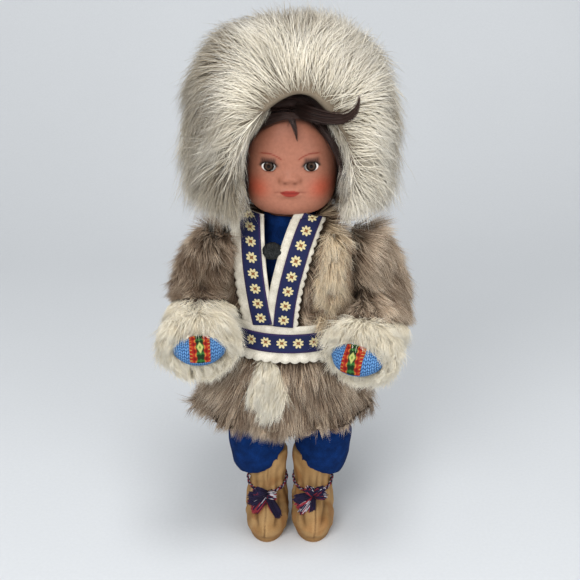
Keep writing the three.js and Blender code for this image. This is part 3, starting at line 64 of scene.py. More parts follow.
Array = np.ndarray
Mesh = bpy.types.Mesh
Spot = tuple[float, float, float]
Stops = tuple[tuple[float, str], ...]  # place and sRGB hex of each stop of a colour ramp
Coats = list[tuple[str, Array]]  # sRGB hex and share at each point of each coat of paint
Tuft = tuple[float, float, float, float]


class Side(Enum):
    """A side of the doll, named as the doll has it."""

    LEFT = "left"
    RIGHT = "right"

    @property
    def sign(self) -> int:
        """The sign of x on this side."""
        return 1 if self is Side.LEFT else -1


class Tip(Enum):
    """How a strand ends, as the share of its thickness that is left there."""

    FINE = 0.0
    CUT = 0.85


# numbers


def linear(code: str) -> tuple[float, float, float, float]:
    """Turns an sRGB hex colour into linear RGBA."""
    parts = [int(code[i : i + 2], 16) / 255 for i in (1, 3, 5)]
    return (*[p / 12.92 if p <= 0.04045 else ((p + 0.055) / 1.055) ** 2.4 for p in parts], 1.0)


def unit(vectors: Array) -> Array:
    """Scales each row to length 1."""
    return vectors / np.maximum(np.linalg.norm(vectors, axis=-1, keepdims=True), 1e-9)


def ease(values: Array, low: float, high: float) -> Array:
    """Rises smoothly from 0 at low to 1 at high."""
    share = np.clip((values - low) / (high - low), 0, 1)
    return share * share * (3 - 2 * share)


def bump(values: Array, middle: float, spread: float) -> Array:
    """A rounded rise of height 1 about a middle."""
    return np.exp(-0.5 * ((values - middle) / spread) ** 2)


def drift(points: Array, wavelength: float, seed: int) -> Array:
    """A smooth random value at each point, about -1 to 1, from a sum of waves.

    Args:
        points: where the values are wanted.
        wavelength: middle length of the waves.
        seed: picks the waves, the same ones each time.

    Returns:
        One value for each point.
    """
    rng = np.random.default_rng(seed)
    waves = unit(rng.normal(size=(10, 3))) * rng.uniform(0.6, 1.6, (10, 1)) * 2 * math.pi / wavelength
    return np.sin(points @ waves.T + rng.uniform(0, 2 * math.pi, 10)).sum(1) / 4


def dot(vectors: Array, way: Array) -> Array:
    """How far each vector goes along a direction, or along its own one."""
    return (vectors * way).sum(1)


def level(points: Array) -> Array:
    """The level direction from the doll's upright axis to each point."""
    return unit(points * np.array([1, 1, 0.0]))


def spline(points: list[tuple[float, float]], steps: int) -> Array:
    """Points of a smooth curve through the given ones.

    Args:
        points: two or more points of the curve.
        steps: how many pieces the curve is drawn in.

    Returns:
        steps + 1 points.
    """
    ends = np.array([points[0], *points, points[-1]], float)
    at = np.linspace(0, len(points) - 1, steps + 1)
    first = np.minimum(at.astype(int), len(points) - 2)
    t = (at - first)[:, None]
    a, b, c, d = (ends[first + i] for i in range(4))
    return 0.5 * (2 * b + (c - a) * t + (2 * a - 5 * b + 4 * c - d) * t**2 + (3 * b - a - 3 * c + d) * t**3)


# materials


def add_node(
    tree: bpy.types.NodeTree,
    kind: str,
    inputs: dict[int | str, object] | None = None,
    stops: Stops = (),
    **settings: object,
) -> bpy.types.Node:
    """Adds one node with its settings and links.

    Args:
        tree: the node tree that gets it.
        kind: its type.
        inputs: a value, or the socket that feeds it, for each input.
        stops: the stops of a colour ramp.
        settings: its properties.

    Returns:
        The node.
    """
    node = tree.nodes.new(kind)
    for name, value in settings.items():
        setattr(node, name, value)
    for key, value in (inputs or {}).items():
        if isinstance(value, bpy.types.NodeSocket):
            tree.links.new(value, node.inputs[key])
        else:
            node.inputs[key].default_value = value
    for i, (place, code) in enumerate(stops):
        stop = node.color_ramp.elements[i] if i < 2 else node.color_ramp.elements.new(place)
        stop.position = place
        stop.color = linear(code)
    return node


def begin(
    name: str, roughness: float, specular: float, sheen: float = 0.0, metallic: float = 0.0
) -> tuple[bpy.types.Material, bpy.types.NodeTree, bpy.types.Node]:
    """Starts a material.

    Args:
        name: name of the material.
        roughness: 0 for a mirror, 1 for chalk.
        specular: strength of its gleam.
        sheen: soft light along its edges.
        metallic: 1 for a metal.

    Returns:
        The material, its node tree and its shader.
    """
    material = bpy.data.materials.new(name)
    material.use_nodes = True
    shader = material.node_tree.nodes["Principled BSDF"]
    shader.inputs["Roughness"].default_value = roughness
    shader.inputs["Specular IOR Level"].default_value = specular
    shader.inputs["Sheen Weight"].default_value = sheen
    shader.inputs["Metallic"].default_value = metallic
    return material, material.node_tree, shader


@dataclass(frozen=True)
class Strands:
    """Hair of an animal, or yarn: strands between a dark and a pale kind, shaded from root to tip."""

    name: str
    dark: Stops
    pale: Stops
    roughness: float = 0.62
    specular: float = 0.25
    sheen: float = 0.0  # soft light along the edges of hollow hairs

    def material(self) -> bpy.types.Material:
        """Makes the material, whose colour is a function of the strand map alone.

        Returns:
            The material.
        """
        material, tree, shader = begin(self.name, self.roughness, self.specular, self.sheen)
        place = add_node(tree, "ShaderNodeUVMap", uv_map=STRAND_MAP)
        parts = add_node(tree, "ShaderNodeSeparateXYZ", {0: place.outputs[0]})
        dark = add_node(tree, "ShaderNodeValToRGB", {0: parts.outputs["Y"]}, self.dark)
        pale = add_node(tree, "ShaderNodeValToRGB", {0: parts.outputs["Y"]}, self.pale)
        tone = {0: parts.outputs["X"], 6: dark.outputs[0], 7: pale.outputs[0]}
        colour = add_node(tree, "ShaderNodeMix", tone, data_type="RGBA")
        tree.links.new(colour.outputs[2], shader.inputs["Base Color"])
        return material


@dataclass(frozen=True)
class Cloth:
    """Pressed or brushed cloth, hide or moulded plastic: a mottled colour with a fine grain."""

    name: str
    dark: str
    light: str
    grain: float = 0.6 * MM  # width of one grain
    mottle: float = 9 * MM  # width of one patch of colour
    relief: float = 0.1 * MM  # height of the grain
    roughness: float = 0.9
    specular: float = 0.25
    metallic: float = 0.0

    def material(self) -> bpy.types.Material:
        """Makes the material, with patches and grain from noise in object coordinates.

        Returns:
            The material.
        """
        material, tree, shader = begin(self.name, self.roughness, self.specular, metallic=self.metallic)
        place = add_node(tree, "ShaderNodeTexCoord").outputs["Object"]
        patches = {"Vector": place, "Scale": 1 / self.mottle, "Detail": 3.0}
        patch = add_node(tree, "ShaderNodeTexNoise", patches)
        grains = {"Vector": place, "Scale": 1 / self.grain, "Detail": 5.0}
        grain = add_node(tree, "ShaderNodeTexNoise", grains)
        both = add_node(tree, "ShaderNodeMath", {0: patch.outputs[0], 1: grain.outputs[0]}, operation="ADD")
        half = add_node(tree, "ShaderNodeMath", {0: both.outputs[0], 1: 0.5}, operation="MULTIPLY")
        stops = ((0.35, self.dark), (0.65, self.light))
        colour = add_node(tree, "ShaderNodeValToRGB", {0: half.outputs[0]}, stops)
        height = {"Height": grain.outputs[0], "Distance": self.relief, "Strength": 0.8}
        raised = add_node(tree, "ShaderNodeBump", height)
        tree.links.new(colour.outputs[0], shader.inputs["Base Color"])
        tree.links.new(raised.outputs[0], shader.inputs["Normal"])
        return material


@dataclass(frozen=True)
class Painted:
    """A surface whose colour is painted on its points, under a thin gloss."""

    name: str
    grain: float  # width of one grain
    relief: float  # height of the grain
    roughness: float
    specular: float

    def material(self) -> bpy.types.Material:
        """Makes the material: the painted colour, mottled a little, over a fine relief.

        Returns:
            The material.
        """
        material, tree, shader = begin(self.name, self.roughness, self.specular)
        paint = add_node(tree, "ShaderNodeAttribute", attribute_name=PAINT_LAYER)
        place = add_node(tree, "ShaderNodeTexCoord").outputs["Object"]
        grains = {"Vector": place, "Scale": 1 / self.grain, "Detail": 4.0}
        grain = add_node(tree, "ShaderNodeTexNoise", grains)
        shade = {0: grain.outputs[0], 1: 0.35, 2: 0.65, 3: 0.93, 4: 1.07}
        mottle = add_node(tree, "ShaderNodeMapRange", shade)
        colour = {0: paint.outputs["Color"], 1: mottle.outputs[0]}
        scaled = add_node(tree, "ShaderNodeVectorMath", colour, operation="MULTIPLY")
        height = {"Height": grain.outputs[0], "Distance": self.relief, "Strength": 0.6}
        raised = add_node(tree, "ShaderNodeBump", height)
        tree.links.new(scaled.outputs[0], shader.inputs["Base Color"])
        tree.links.new(raised.outputs[0], shader.inputs["Normal"])
        return material


@dataclass(frozen=True)
class Daisies:
    """Woven ribbon with a row of daisies; its map runs in metres, u along it and v across from its middle."""

    name: str
    ground: str
    edge: str
    petal: str
    heart: str
    pitch: float  # from one daisy to the next
    petals: int
    radius: float  # of a daisy
    width: float  # of the ribbon
    thread: float
    roughness: float = 0.75
    specular: float = 0.3

    def material(self) -> bpy.types.Material:
        """Makes the material, where each daisy is drawn about the middle of its own repeat.

        Returns:
            The material.
        """
        material, tree, shader = begin(self.name, self.roughness, self.specular)
        place = add_node(tree, "ShaderNodeUVMap", uv_map="Ribbon")
        parts = add_node(tree, "ShaderNodeSeparateXYZ", {0: place.outputs[0]})
        # threads are drawn 0.35 mm apart, a little coarser than real ones, so that they show
        threads = {"Vector": place.outputs[0], "Scale": 0.1 / self.thread}
        warp = add_node(tree, "ShaderNodeTexWave", threads, bands_direction="Y")
        weft = add_node(tree, "ShaderNodeTexWave", threads, bands_direction="X")
        values = {"along": parts.outputs["X"], "across": parts.outputs["Y"]}
        values |= {"warp": warp.outputs[1], "weft": weft.outputs[1]}
        wedge = 2 * math.pi / self.petals
        steps = (
            ("repeat", "DIVIDE", "along", self.pitch),
            ("share", "FRACT", "repeat"),
            ("local", "MULTIPLY_ADD", "share", self.pitch, -0.5 * self.pitch),
            ("angle", "ARCTAN2", "across", "local"),
            ("local2", "MULTIPLY", "local", "local"),
            ("away2", "MULTIPLY_ADD", "across", "across", "local2"),
            ("away", "SQRT", "away2"),
            # one petal's own axes: forth from the heart and aside from the petal's middle
            ("turn", "DIVIDE", "angle", wedge),
            ("place", "FRACT", "turn"),
            ("tilt", "MULTIPLY_ADD", "place", wedge, -0.5 * wedge),
            ("ahead", "COSINE", "tilt"),
            ("askew", "SINE", "tilt"),
            ("forth", "MULTIPLY", "away", "ahead"),
            ("aside", "MULTIPLY", "away", "askew"),
            ("long", "MULTIPLY_ADD", "forth", 1 / (0.38 * self.radius), -0.62 / 0.38),
            ("wide", "DIVIDE", "aside", 0.215 * self.radius),
            ("long2", "MULTIPLY", "long", "long"),
            ("round", "MULTIPLY_ADD", "wide", "wide", "long2"),
            ("petal", "LESS_THAN", "round", 1.0),
            # threads of the heart run out between the petals in a cross
            ("fourth", "MULTIPLY", "angle", 4.0),
            ("cross", "COSINE", "fourth"),
            ("arms", "MULTIPLY_ADD", "cross", -0.16 * self.radius, 0.3 * self.radius),
            ("heart", "LESS_THAN", "away", "arms"),
            ("edge", "ABSOLUTE", "across"),
            ("border", "GREATER_THAN", "edge", 0.43 * self.width),
            ("weave", "MULTIPLY", "warp", "weft"),
            # painted shade: the colour is darker between the threads and lighter on the raised ones
            ("dim", "MULTIPLY_ADD", "weave", 0.3, 0.82),
            ("height", "MULTIPLY_ADD", "petal", 1.5, "weave"),
        )
        for name, operation, *terms in steps:
            inputs = {i: values.get(term, term) for i, term in enumerate(terms)}
            values[name] = add_node(tree, "ShaderNodeMath", inputs, operation=operation).outputs[0]
        colour = linear(self.ground)
        for mask, code in (("border", self.edge), ("petal", self.petal), ("heart", self.heart)):
            layer = {0: values[mask], 6: colour, 7: linear(code)}
            colour = add_node(tree, "ShaderNodeMix", layer, data_type="RGBA").outputs[2]
        shaded = add_node(tree, "ShaderNodeVectorMath", {0: colour, 1: values["dim"]}, operation="MULTIPLY")
        relief = {"Height": values["height"], "Distance": 0.12 * MM, "Strength": 0.7}
        raised = add_node(tree, "ShaderNodeBump", relief)
        tree.links.new(shaded.outputs[0], shader.inputs["Base Color"])
        tree.links.new(raised.outputs[0], shader.inputs["Normal"])
        return material


@dataclass(frozen=True)
class Knit:
    """Stocking stitch; its map runs in metres, u round the piece and v along it."""

    name: str
    # valley: painted shade between the stitches; crest: painted light on their loops
    valley: str
    yarn: str
    crest: str
    stitch: float  # width of one stitch
    row: float  # height of one row
    roughness: float = 0.9
    specular: float = 0.2

    def material(self) -> bpy.types.Material:
        """Makes the material: columns of V-shaped stitches from two slanted sets of waves.

        Returns:
            The material.
        """
        material, tree, shader = begin(self.name, self.roughness, self.specular)
        place = add_node(tree, "ShaderNodeUVMap", uv_map="Knit")
        parts = add_node(tree, "ShaderNodeSeparateXYZ", {0: place.outputs[0]})
        noise = add_node(tree, "ShaderNodeTexNoise", {"Vector": place.outputs[0], "Scale": 1 / (4 * MM)})
        values = {"around": parts.outputs["X"], "along": parts.outputs["Y"], "noise": noise.outputs[0]}
        steps = (
            ("column", "DIVIDE", "around", self.stitch),
            ("share", "FRACT", "column"),
            ("off", "SUBTRACT", "share", 0.5),
            ("slant", "ABSOLUTE", "off"),
            ("line", "DIVIDE", "along", self.row),
            ("row", "MULTIPLY_ADD", "slant", 1.2, "line"),
            ("phase", "MULTIPLY", "row", math.pi),
            ("wave", "SINE", "phase"),
            ("loop", "ABSOLUTE", "wave"),
            ("full_loop", "POWER", "loop", 0.7),
            ("side", "MULTIPLY", "slant", 2 * math.pi),
            ("leg", "SINE", "side"),
            ("rib", "ABSOLUTE", "leg"),
            ("full_rib", "POWER", "rib", 0.6),
            ("height", "MULTIPLY", "full_loop", "full_rib"),
            ("patch", "MULTIPLY_ADD", "noise", 0.5, -0.25),
            ("tone", "ADD", "height", "patch"),
        )
        for name, operation, *terms in steps:
            inputs = {i: values.get(term, term) for i, term in enumerate(terms)}
            values[name] = add_node(tree, "ShaderNodeMath", inputs, operation=operation).outputs[0]
        # painted shade and light: darker in the valleys between the stitches, paler on the crests of the
        # loops, following their relief
        stops = ((0.1, self.valley), (0.34, self.yarn), (0.9, self.crest))
        colour = add_node(tree, "ShaderNodeValToRGB", {0: values["tone"]}, stops)
        relief = {"Height": values["height"], "Distance": 0.5 * MM, "Strength": 0.9}
        raised = add_node(tree, "ShaderNodeBump", relief)
        tree.links.new(colour.outputs[0], shader.inputs["Base Color"])
        tree.links.new(raised.outputs[0], shader.inputs["Normal"])
        return material


@dataclass(frozen=True)
class Finishes:
    """Every finish of the doll, made once; colours are read from the photograph."""

    # hollow guard hairs: warm grey roots and bleached tips, with a pale edge against the light
    hood = Strands(
        "reindeer_neck_fur",
        ((0.0, "#5f5442"), (0.4, "#8d806a"), (1.0, "#c9bda6")),
        ((0.0, "#c3b8a1"), (0.35, "#f6eedb"), (1.0, "#fffbf0")),
        sheen=0.3,
    ).material()
    # summer coat: brown roots and buff tips, so that the fur looks salted
    coat = Strands(
        "reindeer_coat_fur",
        ((0.0, "#3d3027"), (0.5, "#6b5645"), (1.0, "#9c8269")),
        ((0.0, "#8f7963"), (0.45, "#d2ba9f"), (1.0, "#fff0da")),
    ).material()
    # longer fur of the flank: yellowish tan tips over dark roots, so that its locks stand apart
    tan = Strands(
        "reindeer_flank_fur",
        ((0.0, "#47362b"), (0.45, "#82664f"), (1.0, "#bd9f83")),
        ((0.0, "#93785d"), (0.4, "#ead3ae"), (1.0, "#fff5de")),
    ).material()
    # white belly fur, a little yellow at the root, which keeps it soft against the brown
    white = Strands(
        "white_reindeer_fur",
        ((0.0, "#9d9078"), (0.35, "#d6c9ad"), (1.0, "#f5ebd3")),
        ((0.0, "#d8ccb0"), (0.3, "#faf0d9"), (1.0, "#fffbee")),
        sheen=0.15,
    ).material()
    # rooted nylon hair of dolls: a very dark brown with a long gleam
    hair = Strands(
        "nylon_hair",
        ((0.0, "#1c1311"), (0.5, "#281a17"), (1.0, "#33231e")),
        ((0.0, "#33231f"), (0.5, "#47322b"), (1.0, "#5a4138")),
        roughness=0.4,
        specular=0.4,
    ).material()
    # dull twisted yarn: the tone picks navy or dark red
    yarn = Strands(
        "acrylic_yarn",
        ((0.0, "#0f0f24"), (0.6, "#15152f"), (1.0, "#1e1e3d")),
        ((0.0, "#6d1723"), (0.5, "#85202e"), (1.0, "#9a343f")),
        roughness=0.85,
    ).material()
    # the same yarn left white, a little grey from handling
    pale_yarn = Strands(
        "acrylic_yarn_white",
        ((0.0, "#645f68"), (0.5, "#89848d"), (1.0, "#a39ea7")),
        ((0.0, "#87828b"), (0.5, "#aaa5ad"), (1.0, "#c2bdc3")),
        roughness=0.85,
    ).material()
    # hides under the fur: they only darken the gaps between the hairs
    hide = Cloth("raw_hide", "#5f5446", "#7a6e5d").material()
    dark_hide = Cloth("brown_hide", "#332921", "#4b3e33").material()
    pale_hide = Cloth("white_hide", "#a89e89", "#c0b6a1").material()
    # dyed vinyl under the hair: dark enough that no parting shows
    scalp = Cloth("dyed_scalp", "#120b0a", "#241714", 0.5 * MM, 6 * MM, roughness=0.6).material()
    # pressed wool: no gleam at all, and a grain that breaks up the flat colour
    wool = {"mottle": 5 * MM, "roughness": 0.95, "specular": 0.1}
    cream_felt = Cloth(
        "cream_wool_felt", "#aea797", "#dad4c6", 0.45 * MM, relief=0.12 * MM, **wool
    ).material()
    blue_felt = Cloth(
        "royal_blue_wool_felt", "#04173a", "#0a2d64", 0.5 * MM, relief=0.14 * MM, **wool
    ).material()
    # waxed cord: nearly black, with small lights on its turns
    black_cord = Cloth(
        "black_waxed_cord", "#040504", "#1c1f20", 0.5 * MM, 1.6 * MM, 0.25 * MM, roughness=0.5
    ).material()
    # sole leather: the boots' tan, darkened as painted shade under the boot
    sole = Cloth("sole_leather", "#7d5c38", "#94724a", 0.7 * MM, 8 * MM, 0.15 * MM, roughness=0.8).material()
    # vinyl under the clothes: matt, even flesh
    body_vinyl = Cloth(
        "body_vinyl", "#a87a62", "#b78870", 1.2 * MM, 12 * MM, 0.02 * MM, roughness=0.5
    ).material()
    # drawn wire gleams and cast lead is dull
    metal = {"mottle": 4 * MM, "specular": 0.5, "metallic": 1}
    steel = Cloth(
        "drawn_steel_wire", "#7d7d7d", "#a8a8a8", 0.4 * MM, relief=0.01 * MM, roughness=0.35, **metal
    ).material()
    lead = Cloth(
        "cast_lead", "#55575b", "#7d7f84", 0.8 * MM, relief=0.08 * MM, roughness=0.6, **metal
    ).material()
    # sprayed vinyl: a soft, skin-like gleam
    face = Painted("face_vinyl", 1.5 * MM, 0.01 * MM, roughness=0.5, specular=0.25).material()
    # polished acrylic: small sharp lights that make the eyes look wet
    eye = Painted("acrylic_eye", 3 * MM, 0.001 * MM, roughness=0.06, specular=0.14).material()
    # smoked hide: matt, with a fine nap
    boot = Painted("tanned_reindeer_hide", 0.7 * MM, 0.18 * MM, roughness=0.85, specular=0.25).material()
    # woven tape: threads that stand up from it
    band = Painted("woven_ornament_band", 0.6 * MM, 0.3 * MM, roughness=0.9, specular=0.2).material()
    # jacquard ribbon: cream daisies with brown hearts that stand up from a navy ground
    daisy_pitch = 8.2 * MM
    braid = Daisies(
        "jacquard_ribbon", ground="#0f1944", edge="#2a1c49", petal="#d5c898", heart="#84501f",
        pitch=daisy_pitch, petals=8, radius=2.85 * MM, width=10 * MM, thread=0.11 * MM,
    ).material()
    # hand-knitted wool: columns of V stitches, drawn a little coarser than real ones so that they show
    # its valley colour is painted shade between the stitches and its crest colour painted light on the loops
    mitten = Knit(
        "blue_wool_knit", valley="#12274a", yarn="#3b69a2", crest="#6b9bcd", stitch=2.0 * MM, row=1.5 * MM
    ).material()



# meshes


def new_mesh(name: str, bm: bmesh.types.BMesh) -> Mesh:
    """Turns a bmesh into a mesh.

    Args:
        name: name of the mesh.
        bm: its shape, which is freed.

    Returns:
        The mesh, with smooth faces that point outwards.
    """
    bmesh.ops.recalc_face_normals(bm, faces=bm.faces)
    mesh = bpy.data.meshes.new(name)
    bm.to_mesh(mesh)
    bm.free()
    mesh.polygons.foreach_set("use_smooth", np.ones(len(mesh.polygons), bool))
    return mesh


def read_rows(items: bpy.types.bpy_prop_collection, name: str) -> Array:
    """Reads one vector of each item of a mesh.

    Args:
        items: points or normals of the mesh.
        name: the property that holds the vector.

    Returns:
        One row for each item.
    """
    flat = np.empty(3 * len(items), np.float32)
    items.foreach_get(name, flat)
    return flat.reshape(-1, 3).astype(float)


def places(mesh: Mesh) -> Array:
    """The points of a mesh, one row each."""
    return read_rows(mesh.vertices, "co")


def directions(mesh: Mesh) -> Array:
    """The normals at the points of a mesh."""
    return read_rows(mesh.vertex_normals, "vector")


def move(mesh: Mesh, points: Array) -> None:
    """Puts the points of a mesh at new places."""
    mesh.vertices.foreach_set("co", points.ravel())
    mesh.update()


def paint(mesh: Mesh, colours: Array) -> None:
    """Paints a linear RGB colour on each point of a mesh."""
    layer = mesh.attributes.new(PAINT_LAYER, "FLOAT_COLOR", "POINT")
    layer.data.foreach_set("color", np.column_stack([colours, np.ones(len(colours))]).ravel())


def layered(ground: str, count: int, coats: Coats) -> Array:
    """Lays coats of paint over a ground, one after another.

    Args:
        ground: sRGB hex of the ground.
        count: how many points are painted.
        coats: the coats, from the first to the last.

    Returns:
        A linear RGB colour for each point.
    """
    colours = np.tile(linear(ground)[:3], (count, 1))
    for code, share in coats:
        share = np.clip(share, 0, 1)[:, None]
        colours = colours * (1 - share) + np.array(linear(code)[:3]) * share
    return colours


def map_points(mesh: Mesh, name: str, pairs: Array) -> None:
    """Gives a mesh a UV map.

    Args:
        mesh: the mesh.
        name: name of the map.
        pairs: (u, v) of each point.
    """
    corners = np.empty(len(mesh.loops), int)
    mesh.loops.foreach_get("vertex_index", corners)
    mesh.uv_layers.new(name=name).data.foreach_set("uv", pairs[corners].ravel())


def soften(mesh: Mesh, times: int, middle: Vector = Vector(), reach: float = 1.0) -> None:
    """Smooths the points of a mesh, or those of one part of it.

    Args:
        mesh: the mesh that is smoothed.
        times: how often each point is drawn towards its neighbours.
        middle: middle of the part.
        reach: how far the part goes from its middle.
    """
    bm = bmesh.new()
    bm.from_mesh(mesh)
    verts = [v for v in bm.verts if (v.co - middle).length < reach]
    for _ in range(times):
        bmesh.ops.smooth_vert(bm, verts=verts, factor=0.5, use_axis_x=True, use_axis_y=True, use_axis_z=True)
    bm.to_mesh(mesh)
    bm.free()


def skin(name: str, nodes: tuple[str, ...], voxel: float, smoothing: int) -> Mesh:
    """One even, smooth surface over CAD solids.

    Args:
        name: name of the mesh.
        nodes: the CAD nodes that it covers.
        voxel: size of its faces.
        smoothing: how many times it is smoothed.

    Returns:
        The mesh, in the row frame.
    """
    bm = bmesh.new()
    for node in nodes:
        bm.from_mesh(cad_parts[node].data)
    rough = bpy.data.objects.new(name, new_mesh(name, bm))
    bpy.context.scene.collection.objects.link(rough)
    remesh = rough.modifiers.new("Remesh", "REMESH")
    remesh.mode = "VOXEL"
    remesh.voxel_size = voxel
    mesh = bpy.data.meshes.new_from_object(rough.evaluated_get(bpy.context.evaluated_depsgraph_get()))
    mesh.name = name
    mesh.materials.clear()
    bpy.data.meshes.remove(rough.data)
    soften(mesh, smoothing)
    mesh.polygons.foreach_set("use_smooth", np.ones(len(mesh.polygons), bool))
    return mesh


def add_piece(
    name: str, mesh: Mesh, material: bpy.types.Material, body: str, slot: str, *nodes: str
) -> bpy.types.Object:
    """Puts a finished piece in the scene.

    Args:
        name: name of the piece.
        mesh: its shape, in the row frame.
        material: its finish.
        body: the body that it moves with.
        slot: the record's material slot; not used.
        nodes: the CAD nodes that it stands for.

    Returns:
        The object.
    """
    piece = bpy.data.objects.new(name, mesh)
    bpy.context.scene.collection.objects.link(piece)
    mesh.materials.clear()
    mesh.materials.append(material)
    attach(piece, body)
    if nodes:
        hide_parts(*nodes)
    log.info("%s: %d faces on %s", name, len(mesh.polygons), body)
    return piece


def scatter(mesh: Mesh, count: int, rng: np.random.Generator) -> tuple[Array, Array]:
    """Spreads random points evenly over a mesh.

    Args:
        mesh: the mesh.
        count: how many points.
        rng: source of their places.

    Returns:
        The points and the normals there.
    """
    mesh.calc_loop_triangles()
    corners = np.empty(3 * len(mesh.loop_triangles), int)
    mesh.loop_triangles.foreach_get("vertices", corners)
    corners = corners.reshape(-1, 3)
    at, out = places(mesh), directions(mesh)
    a, b, c = (at[corners[:, i]] for i in range(3))
    area = np.linalg.norm(np.cross(b - a, c - a), axis=1)
    chosen = corners[rng.choice(len(corners), count, p=area / area.sum())]
    share = rng.dirichlet((1, 1, 1), count)[:, :, None]
    return (at[chosen] * share).sum(1), unit((out[chosen] * share).sum(1))


def strand_mesh(
    name: str,
    root: Array,
    bend: Array,
    end: Array,
    width: Array,
    tone: Array,
    rings: tuple[float, ...],
    tip: Tip = Tip.FINE,
) -> Mesh:
    """Many strands, each a thin three-sided tube along a bent line.

    Args:
        name: name of the mesh.
        root: where each strand starts.
        bend: the point that each strand bends towards.
        end: where each strand ends.
        width: thickness of each strand at its root.
        tone: 0 for a dark strand, 1 for a pale one.
        rings: shares of the length where the tube can bend.
        tip: how the strands end.

    Returns:
        The mesh, with the strand map.
    """
    bm = bmesh.new()
    bmesh.ops.create_cone(bm, cap_ends=True, segments=3, radius1=1, radius2=tip.value, depth=1)
    bmesh.ops.remove_doubles(bm, verts=bm.verts, dist=1e-4)
    bmesh.ops.translate(bm, verts=bm.verts, vec=(0, 0, 0.5))
    for height in rings:
        cut = [*bm.verts, *bm.edges, *bm.faces]
        bmesh.ops.bisect_plane(bm, geom=cut, plane_co=(0, 0, height), plane_no=(0, 0, 1))
    bmesh.ops.triangulate(bm, faces=bm.faces)
    pattern = np.array([v.co for v in bm.verts])
    corners = np.array([[v.index for v in f.verts] for f in bm.faces])
    bm.free()
    t = pattern[None, :, 2, None]
    spine = (1 - t) ** 2 * root[:, None] + 2 * t * (1 - t) * bend[:, None] + t**2 * end[:, None]
    ahead = unit(end - root)
    side = unit(np.cross(ahead, unit(bend - root) + 0.3 * np.roll(ahead, 1, axis=1)))
    over = np.cross(ahead, side)
    fuller = 1 + 0.8 * pattern[:, 2] * (1 - pattern[:, 2])
    cross = pattern[:, :2] * fuller[:, None]
    half = 0.5 * width[:, None, None]
    sideways = cross[None, :, 0, None] * side[:, None]
    points = spine + half * (sideways + cross[None, :, 1, None] * over[:, None])
    count, size = len(root), len(pattern)
    faces = (corners[None] + (np.arange(count) * size)[:, None, None]).reshape(-1, 3)
    mesh = bpy.data.meshes.new(name)
    mesh.vertices.add(count * size)
    mesh.loops.add(faces.size)
    mesh.polygons.add(len(faces))
    mesh.vertices.foreach_set("co", points.ravel())
    mesh.polygons.foreach_set("loop_start", np.arange(0, faces.size, 3))
    mesh.loops.foreach_set("vertex_index", faces.ravel())
    mesh.polygons.foreach_set("use_smooth", np.ones(len(faces), bool))
    mesh.update(calc_edges=True)
    turn = np.arctan2(pattern[:, 1], pattern[:, 0]) / (2 * math.pi) + 0.5
    across = 0.01 + 0.95 * np.clip(tone, 0, 1)[:, None] + 0.03 * turn[None]
    along = np.broadcast_to(0.01 + 0.98 * pattern[:, 2], across.shape)
    map_points(mesh, STRAND_MAP, np.dstack([across, along]).reshape(-1, 2))
    return mesh


def search_tree(mesh: Mesh) -> BVHTree:
    """A tree that finds the faces of a mesh."""
    return BVHTree.FromPolygons(places(mesh), [tuple(p.vertices) for p in mesh.polygons])


def nearest(mesh: Mesh, points: Array) -> tuple[Array, Array]:
    """Finds the nearest place on a mesh to each point.

    Args:
        mesh: the mesh.
        points: the points.

    Returns:
        The places and the normals there.
    """
    tree = search_tree(mesh)
    found = [tree.find_nearest(Vector(p)) for p in points]
    return np.array([f[0] for f in found]), np.array([f[1] for f in found])


def covered(mesh: Mesh, points: Array, way: Array) -> Array:
    """Whether a line from each point, along a direction, meets a mesh."""
    tree = search_tree(mesh)
    return np.array([tree.ray_cast(Vector(p), Vector(way))[0] is not None for p in points])


